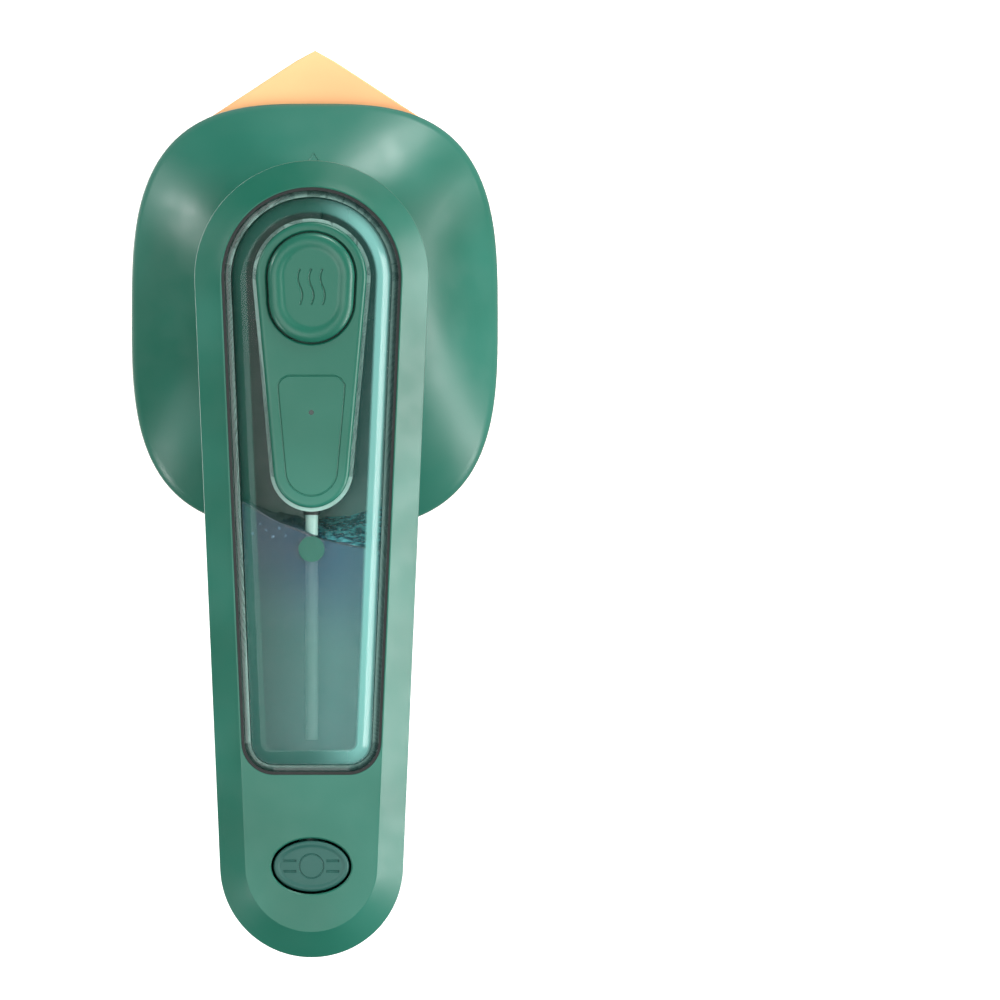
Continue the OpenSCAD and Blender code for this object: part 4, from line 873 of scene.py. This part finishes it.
class STEAMER_OT_front_frame(bpy.types.Operator):
    """Front frame: side strip, wide bevel, flat front, window opening and the plug's recess"""
    bl_idname = "steamer.front_frame"
    bl_label = "Front frame"

    def execute(self, context):
        s, _ = sizes_and_colours(context)
        edge_z = Z_SEAM + s.strip_h
        bevel_h = Z_FRONT - edge_z

        def bevel(inset):
            return (inset, edge_z + bevel_h * inset / s.bevel_w)
        edge = 0.22 * MM
        lip = 0.12 * MM
        side = [(edge, Z_SEAM), (0, Z_SEAM + edge), (0, edge_z - 0.25 * MM),
                (0.07 * MM, edge_z + 0.02 * MM), bevel(0.35 * MM), bevel(2.2 * MM), bevel(4.2 * MM),
                bevel(s.bevel_w - 0.7 * MM), (s.bevel_w - 0.3 * MM, Z_FRONT - 0.06 * MM),
                (s.bevel_w - 0.1 * MM, Z_FRONT - 0.01 * MM)]
        opening = [(lip * 0.3, Z_FRONT - 0.015 * MM), (lip, Z_FRONT - 0.12 * MM), (lip, Z_WINDOW_LOW)]
        inner = [(s.wall + 1 * MM, Z_WINDOW_LOW - 0.1 * MM), (s.wall, Z_WINDOW_LOW - 0.2 * MM),
                 (s.wall, Z_SEAM)]
        rings = [lift(handle_ring(s, inset), z) for inset, z in side]
        rings += [lift(window_ring(s, inset), z) for inset, z in opening]
        rings += [lift(handle_ring(s, inset), z) for inset, z in inner]
        face = ring_piece("frame_skin", rings, closed=True)
        recess = ring_piece("plug_way", [lift(oval_ring(s, -s.plug_gap - d), z) for d, z in
                                         ((0, Z_SEAM - 1 * MM), (0, Z_FRONT - 0.35 * MM),
                                          (0.35 * MM, Z_FRONT + 0.01 * MM), (0.35 * MM, Z_FRONT + 1 * MM))])
        cut(face, recess)
        soften(face, 0)
        dress(face, HANDLE, FINISHES["green_shell"], "green_shell", "front_frame")
        return {"FINISHED"}


class STEAMER_OT_window(bpy.types.Operator):
    """Clear cover of the tank with a rounded border and a raised middle"""
    bl_idname = "steamer.window"
    bl_label = "Window"

    def execute(self, context):
        s, _ = sizes_and_colours(context)
        margin = 1.5 * MM
        clear_band = 7
        profile = [(0.85, -1.9), (0.85, -1.6), (1.1, -1.5), (2.2, -1.5), (2.6, -1.4), (3.2, -1.02),
                   (4.0, -0.55), (4.8, -0.22), (5.6, -0.06), (6.4, 0)]
        # The flat underside counts as clear middle, or it would show the border's painted shade once more
        bottom = (clear_band, profile[0][0])
        rings = [lift(window_ring(s, inset * MM), Z_WINDOW_LOW) for inset in bottom]
        rings += [lift(window_ring(s, inset * MM), Z_WINDOW + z * MM) for inset, z in profile]
        window = ring_piece("window_cover", rings)
        well = ring_piece("island_way", [lift(island_ring(s, 0.6 * MM), z) for z in
                                         (Z_WINDOW_LOW - margin, Z_WINDOW + margin)])
        cut(window, well)
        write_bands(window, rings, [clear_band, clear_band] + [inset for inset, _ in profile])
        soften(window, 0)
        # The window's finish paints light and shade along its rounded border
        FINISHES["window_clear"] = window_finish("window with a rounded border")
        dress(window, HANDLE, FINISHES["window_clear"], "window_clear", "tank_cover")
        return {"FINISHED"}


class STEAMER_OT_island(bpy.types.Operator):
    """Control island with a light edge, a sunk ring round the button and a marked panel"""
    bl_idname = "steamer.island"
    bl_label = "Control island"

    def execute(self, context):
        s, _ = sizes_and_colours(context)
        top = Z_ISLAND
        profile = [(1.8, Z_ISLAND_LOW - top), (0.62, Z_ISLAND_LOW - top), (0.62, -1.75 * MM), (0, -1.6 * MM),
                   (0, -0.75 * MM), (0.1, -0.42 * MM), (0.34, -0.16 * MM), (0.7, -0.04 * MM), (1.1, 0)]
        rings = [lift(island_ring(s, inset * MM), top + z) for inset, z in profile]
        island = ring_piece("control_island_skin", rings)
        opening = ring_piece("button_way", [lift(button_ring(s, -0.3 * MM - d), z) for d, z in
                                            ((0, Z_ISLAND_LOW - 1 * MM), (0, top - 0.55 * MM),
                                             (0.18 * MM, top - 0.3 * MM), (0.55 * MM, top + 0.01 * MM),
                                             (0.55 * MM, top + 1 * MM))])
        lamp = round_way("lamp_way", LAMP_WAY_R, LAMP_Y, Z_ISLAND_LOW - 1 * MM, top + 1 * MM, 24)
        groove = tube_along("panel_line", [(x, y, top + 0.02 * MM) for x, y in panel_path(s)],
                            0.26 * MM, True, 3)
        cut(island, opening, lamp, groove)
        soften(island, 0)
        dress(island, HANDLE, FINISHES["green_shell"], "green_shell", "control_island")
        return {"FINISHED"}


class STEAMER_OT_button(bpy.types.Operator):
    """Thumb button with a pillowed rim, a flat middle and three wavy steam lines"""
    bl_idname = "steamer.button"
    bl_label = "Steam button"

    def execute(self, context):
        s, _ = sizes_and_colours(context)
        top = Z_BUTTON
        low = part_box("steam_button")[0].z
        profile = [(0, Z_ISLAND - 1.2 * MM - top), (0, -1.15 * MM), (0.12, -0.78 * MM), (0.42, -0.44 * MM),
                   (0.9, -0.17 * MM), (1.5, -0.03 * MM), (2.1, 0), (2.7, -0.08 * MM), (3.2, -0.26 * MM),
                   (3.6, -0.38 * MM), (4.1, -0.42 * MM)]
        rings = [lift(button_ring(s, -1 * MM), low), lift(button_ring(s, -1 * MM), low + 1 * MM),
                 lift(button_ring(s), low + 1.01 * MM)]
        rings += [lift(button_ring(s, inset * MM), top + z) for inset, z in profile]
        button = ring_piece("steam_button_skin", rings)
        apart, sway, low_end, line_l = 2.7, 0.55, -6.6, 8.6
        lines = []
        for x in (-apart, 0, apart):
            points = [(x * MM + sway * MM * math.sin(t * 2 * math.pi), (low_end + line_l * t) * MM,
                       top - 0.40 * MM) for t in (i / 40 for i in range(41))]
            lines.append(tube_along("steam_line", points, 0.3 * MM))
        cut(button, *lines)
        soften(button, 0)
        dress(button, BUTTON, FINISHES["green_shell"], "green_shell", "steam_button")
        return {"FINISHED"}


class STEAMER_OT_filler_plug(bpy.types.Operator):
    """Oval filler plug with a round middle and two slots on each side of it"""
    bl_idname = "steamer.filler_plug"
    bl_label = "Filler plug"

    def execute(self, context):
        s, _ = sizes_and_colours(context)
        top = Z_PLUG - 0.5 * MM
        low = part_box("filler_plug")[0].z
        stem_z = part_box("filler_plug")[1].z - 1.7 * MM
        stem = 3.05 * MM
        rings = [lift(oval_ring(s, stem), low), lift(oval_ring(s, stem), stem_z),
                 lift(oval_ring(s, 0.1 * MM), stem_z), lift(oval_ring(s, 0), stem_z + 0.2 * MM)]
        rings += [lift(oval_ring(s, inset * MM), top + z * MM) for inset, z in
                  ((0, -0.5), (0.12, -0.2), (0.4, -0.04), (0.75, 0), (1.1, -0.06), (1.4, -0.22), (1.8, -0.26))]
        plug = ring_piece("filler_plug_skin", rings)
        tools = [tube_along("middle", [(x, y, top - 0.24 * MM) for x, y in
                                       circle_ring(2.9 * MM, 48, 0, -s.tail_y)], 0.22 * MM, True)]
        slot_in, slot_out, slot_off = 3.6 * MM, 6.7 * MM, 1.26 * MM
        for side in (-1, 1):
            for y in (-s.tail_y - slot_off, -s.tail_y + slot_off):
                ends = [(side * x, y, top - 0.2 * MM) for x in (slot_in, slot_out)]
                tools.append(tube_along("slot", ends, 0.34 * MM))
        cut(plug, *tools)
        soften(plug, 0)
        finish = moulded_plastic("moulded green, soft", srgb(34, 86, 78)[:3], srgb(24, 74, 66)[:3], 0.45)
        dress(plug, PLUG, finish, "green_shell", "filler_plug")
        return {"FINISHED"}


class STEAMER_OT_water(bpy.types.Operator):
    """Tinted water with a tilted, rippled surface and a few bubbles"""
    bl_idname = "steamer.water"
    bl_label = "Water"

    def execute(self, context):
        s, colours = sizes_and_colours(context)
        inset = s.gasket_w + 1.7 * MM
        front = Z_WINDOW_LOW - 0.75 * MM
        back = Z_TANK + 1.7 * MM
        full = window_ring(s, inset)
        start = s.smoothness + 1
        bottom = full[start:]
        count = 64
        layers = 18
        mid_level = -58 * MM
        lean = math.asin((s.handle_r - s.tail_r) / s.tail_y)

        def edge_x(y):
            return (s.handle_r - s.bevel_w - inset) / math.cos(lean) + y * math.tan(lean)

        def layer(t):
            z = back + (front - back) * t
            points = []
            half = edge_x(mid_level)
            for i in range(count + 1):
                x = half - 2 * half * i / count
                y = far_level(x) * (1 - t) + near_level(x) * t
                fade = math.sin(math.pi * t) * (0.45 + 0.55 * i / count)
                swell = 0.3 * math.sin(1.7 * x / MM + 9 * t) + 0.2 * math.sin(-2.9 * x / MM + 17 * t + 1)
                points.append((max(min(x, edge_x(y)), -edge_x(y)), y + swell * fade * MM, z))
            return points + [(x, y, z) for x, y in bottom]
        rings = [layer(i / layers) for i in range(layers + 1)]
        water = ring_piece("water", rings)
        soften(water, 0)
        dress(water, HANDLE, water_finish("tinted water", colours), "tank_clear")
        places = ((-14.2, -61.5, 0.42), (-9.3, -62.2, 0.38), (-6.2, -62.0, 0.3), (-12.4, -59.2, 0.25),
                  (-7.8, -60.2, 0.34), (-10.9, -60.6, 0.28), (13.2, -66.4, 0.34), (16.2, -66.8, 0.28))
        bubbles = []
        for x, y, r in places:
            ring = [lift(circle_ring(r * MM * math.sin(a), 20, x * MM, y * MM),
                         front + 0.25 * MM - r * MM * math.cos(a)) for a in
                    (math.pi * (0.04 + 0.92 * i / 10) for i in range(11))]
            bubbles.append(ring_piece("bubble", ring))
        froth = join(*bubbles)
        froth.name = "bubbles"
        froth.data.name = "bubbles"
        soften(froth, 0)
        dress(froth, HANDLE, clear_plastic("bubble skin", srgb(120, 170, 200)[:3], 0.35), "tank_clear")
        return {"FINISHED"}


class STEAMER_OT_stage(bpy.types.Operator):
    """Pale floor, studio lamps and the camera"""
    bl_idname = "steamer.stage"
    bl_label = "Stage"

    def execute(self, context):
        make_floor()
        make_world(context)
        make_lamps()
        make_camera(context)
        context.scene.view_settings.view_transform = "Standard"
        return {"FINISHED"}


def ray_share(tree, kinds):
    """One where the ray is any of these kinds."""
    path = tree.nodes.new("ShaderNodeLightPath")
    total = path.outputs[kinds[0]]
    for kind in kinds[1:]:
        top = tree.nodes.new("ShaderNodeMath")
        top.operation = "MAXIMUM"
        tree.links.new(total, top.inputs[0])
        tree.links.new(path.outputs[kind], top.inputs[1])
        total = top.outputs[0]
    return total


BACKGROUND_RAYS = ("Is Camera Ray", "Is Glossy Ray", "Is Transmission Ray")


def make_floor():
    """Large floor that looks white and keeps the shadow; it can't be seen from below."""
    bpy.ops.object.select_all(action="DESELECT")
    bpy.ops.mesh.primitive_plane_add(size=24, location=(0, 0, -0.00005))
    floor = bpy.context.active_object
    floor.name = "floor"
    material = bpy.data.materials.new("pale floor")
    material.use_nodes = True
    tree = material.node_tree
    tree.nodes.clear()
    output = tree.nodes.new("ShaderNodeOutputMaterial")
    diffuse = tree.nodes.new("ShaderNodeBsdfDiffuse")
    diffuse.inputs["Color"].default_value = (0.8, 0.8, 0.8, 1)
    glow = tree.nodes.new("ShaderNodeEmission")
    level = tree.nodes.new("ShaderNodeMath")
    level.operation = "MULTIPLY"
    level.inputs[1].default_value = SURROUND_LEVEL
    tree.links.new(ray_share(tree, BACKGROUND_RAYS), level.inputs[0])
    tree.links.new(level.outputs[0], glow.inputs["Strength"])
    both = tree.nodes.new("ShaderNodeAddShader")
    tree.links.new(diffuse.outputs[0], both.inputs[0])
    tree.links.new(glow.outputs[0], both.inputs[1])
    clear = tree.nodes.new("ShaderNodeBsdfTransparent")
    under = tree.nodes.new("ShaderNodeMixShader")
    side = tree.nodes.new("ShaderNodeNewGeometry")
    tree.links.new(side.outputs["Backfacing"], under.inputs[0])
    tree.links.new(both.outputs[0], under.inputs[1])
    tree.links.new(clear.outputs[0], under.inputs[2])
    tree.links.new(under.outputs[0], output.inputs[0])
    floor.data.materials.append(material)
    floor.visible_diffuse = False
    floor.visible_glossy = False
    floor.visible_shadow = False


def make_world(context):
    """Pale surroundings: white where they are seen, a plain soft level as light."""
    world = bpy.data.worlds.new("pale studio")
    context.scene.world = world
    world.use_nodes = True
    tree = world.node_tree
    tree.nodes.clear()
    output = tree.nodes.new("ShaderNodeOutputWorld")
    background = tree.nodes.new("ShaderNodeBackground")
    direction = tree.nodes.new("ShaderNodeTexCoord")
    split = tree.nodes.new("ShaderNodeSeparateXYZ")
    tree.links.new(direction.outputs["Generated"], split.inputs[0])
    overhead = tree.nodes.new("ShaderNodeMapRange")
    for key, value in zip((1, 2, 3, 4), (0.02, 0.14, 1.0, 0.1)):
        overhead.inputs[key].default_value = value
    tree.links.new(split.outputs["Z"], overhead.inputs[0])
    path = tree.nodes.new("ShaderNodeLightPath")
    seen = tree.nodes.new("ShaderNodeMix")
    seen.inputs[2].default_value = SURROUND_LEVEL
    tree.links.new(ray_share(tree, ("Is Glossy Ray", "Is Transmission Ray")), seen.inputs["Factor"])
    tree.links.new(overhead.outputs[0], seen.inputs[3])
    white = tree.nodes.new("ShaderNodeMix")
    white.inputs[3].default_value = 1.0
    tree.links.new(path.outputs["Is Camera Ray"], white.inputs["Factor"])
    tree.links.new(seen.outputs[0], white.inputs[2])
    tree.links.new(white.outputs[0], background.inputs["Strength"])
    tree.links.new(background.outputs[0], output.inputs[0])


# Soft boxes: azimuth from +X, tilt from straight up, width, height in metres, and power in watts
LAMPS = (
    ("right_side", 0, 50, 0.5, 0.26, 5.0),
    ("right_low", -25, 71, 0.16, 0.16, 2.2),
    ("top_right", 70, 70, 0.24, 0.2, 3.4),
    ("top_left", 155, 70, 0.14, 0.16, 1.8),
    ("left_low", 212, 70, 0.14, 0.16, 1.5),
    ("right_high", 28, 70, 0.1, 0.16, 0.8),
    ("overhead", 200, 18, 0.5, 0.5, 2.5),
)


def add_lamp(name, width, height, power, place, away):
    """Soft box at a place, with its back turned the way that away points."""
    data = bpy.data.lights.new(name, "AREA")
    data.shape = "RECTANGLE"
    data.size = width
    data.size_y = height
    data.energy = power
    lamp = bpy.data.objects.new(name, data)
    lamp.location = place
    lamp.rotation_euler = away.to_track_quat("Z", "Y").to_euler()
    lamp.visible_camera = False
    bpy.context.scene.collection.objects.link(lamp)


def make_lamps():
    """Soft boxes all round at one distance, and one from below for the sole."""
    aim = Vector((0, -0.04, 0.03))
    distance = 0.75
    for name, azimuth, tilt, width, height, power in LAMPS:
        a, t = math.radians(azimuth), math.radians(tilt)
        away = Vector((math.cos(a) * math.sin(t), math.sin(a) * math.sin(t), math.cos(t)))
        add_lamp(name, width, height, power, aim + away * distance, away)
    below = Vector((-0.5, 0.1, -0.9))
    add_lamp("under_fill", 0.8, 0.8, 5, below, below)


def make_camera(context):
    """Looks straight down on the front from far away, with the object left of the middle."""
    data = bpy.data.cameras.new("camera")
    sensor = 36
    distance = 3.0
    width = 0.24
    middle_x, middle_y = 0.04524, -0.0534
    data.sensor_width = sensor
    data.lens = sensor * distance / width
    data.clip_end = 100
    camera = bpy.data.objects.new("camera", data)
    camera.location = (middle_x, middle_y, Z_FRONT - 3 * MM + distance)
    context.scene.collection.objects.link(camera)
    context.scene.camera = camera


class STEAMER_PT_panel(bpy.types.Panel):
    """Lists the steamer's pieces, sizes and colours"""
    bl_idname = "STEAMER_PT_panel"
    bl_label = "Mini Steamer"
    bl_space_type = "VIEW_3D"
    bl_region_type = "UI"
    bl_category = "Mini Steamer"

    def draw(self, context):
        layout = self.layout
        for operator in OPERATORS:
            layout.operator(operator.bl_idname)
        for group in (context.scene.steamer_sizes, context.scene.steamer_colours):
            box = layout.box()
            for key in group.__annotations__:
                box.prop(group, key)


OPERATORS = (
    STEAMER_OT_finishes, STEAMER_OT_sole, STEAMER_OT_cover, STEAMER_OT_rear_shell,
    STEAMER_OT_front_frame, STEAMER_OT_window, STEAMER_OT_island, STEAMER_OT_button,
    STEAMER_OT_filler_plug, STEAMER_OT_water, STEAMER_OT_stage,
)
CLASSES = (SteamerSizes, SteamerColours) + OPERATORS + (STEAMER_PT_panel,)


def register():
    for item in CLASSES:
        bpy.utils.register_class(item)
    bpy.types.Scene.steamer_sizes = PointerProperty(type=SteamerSizes)
    bpy.types.Scene.steamer_colours = PointerProperty(type=SteamerColours)


def unregister():
    del bpy.types.Scene.steamer_colours
    del bpy.types.Scene.steamer_sizes
    for item in reversed(CLASSES):
        bpy.utils.unregister_class(item)


def main():
    register()
    for operator in OPERATORS:
        group, name = operator.bl_idname.split(".")
        getattr(getattr(bpy.ops, group), name)()


if __name__ == "__main__":
    main()
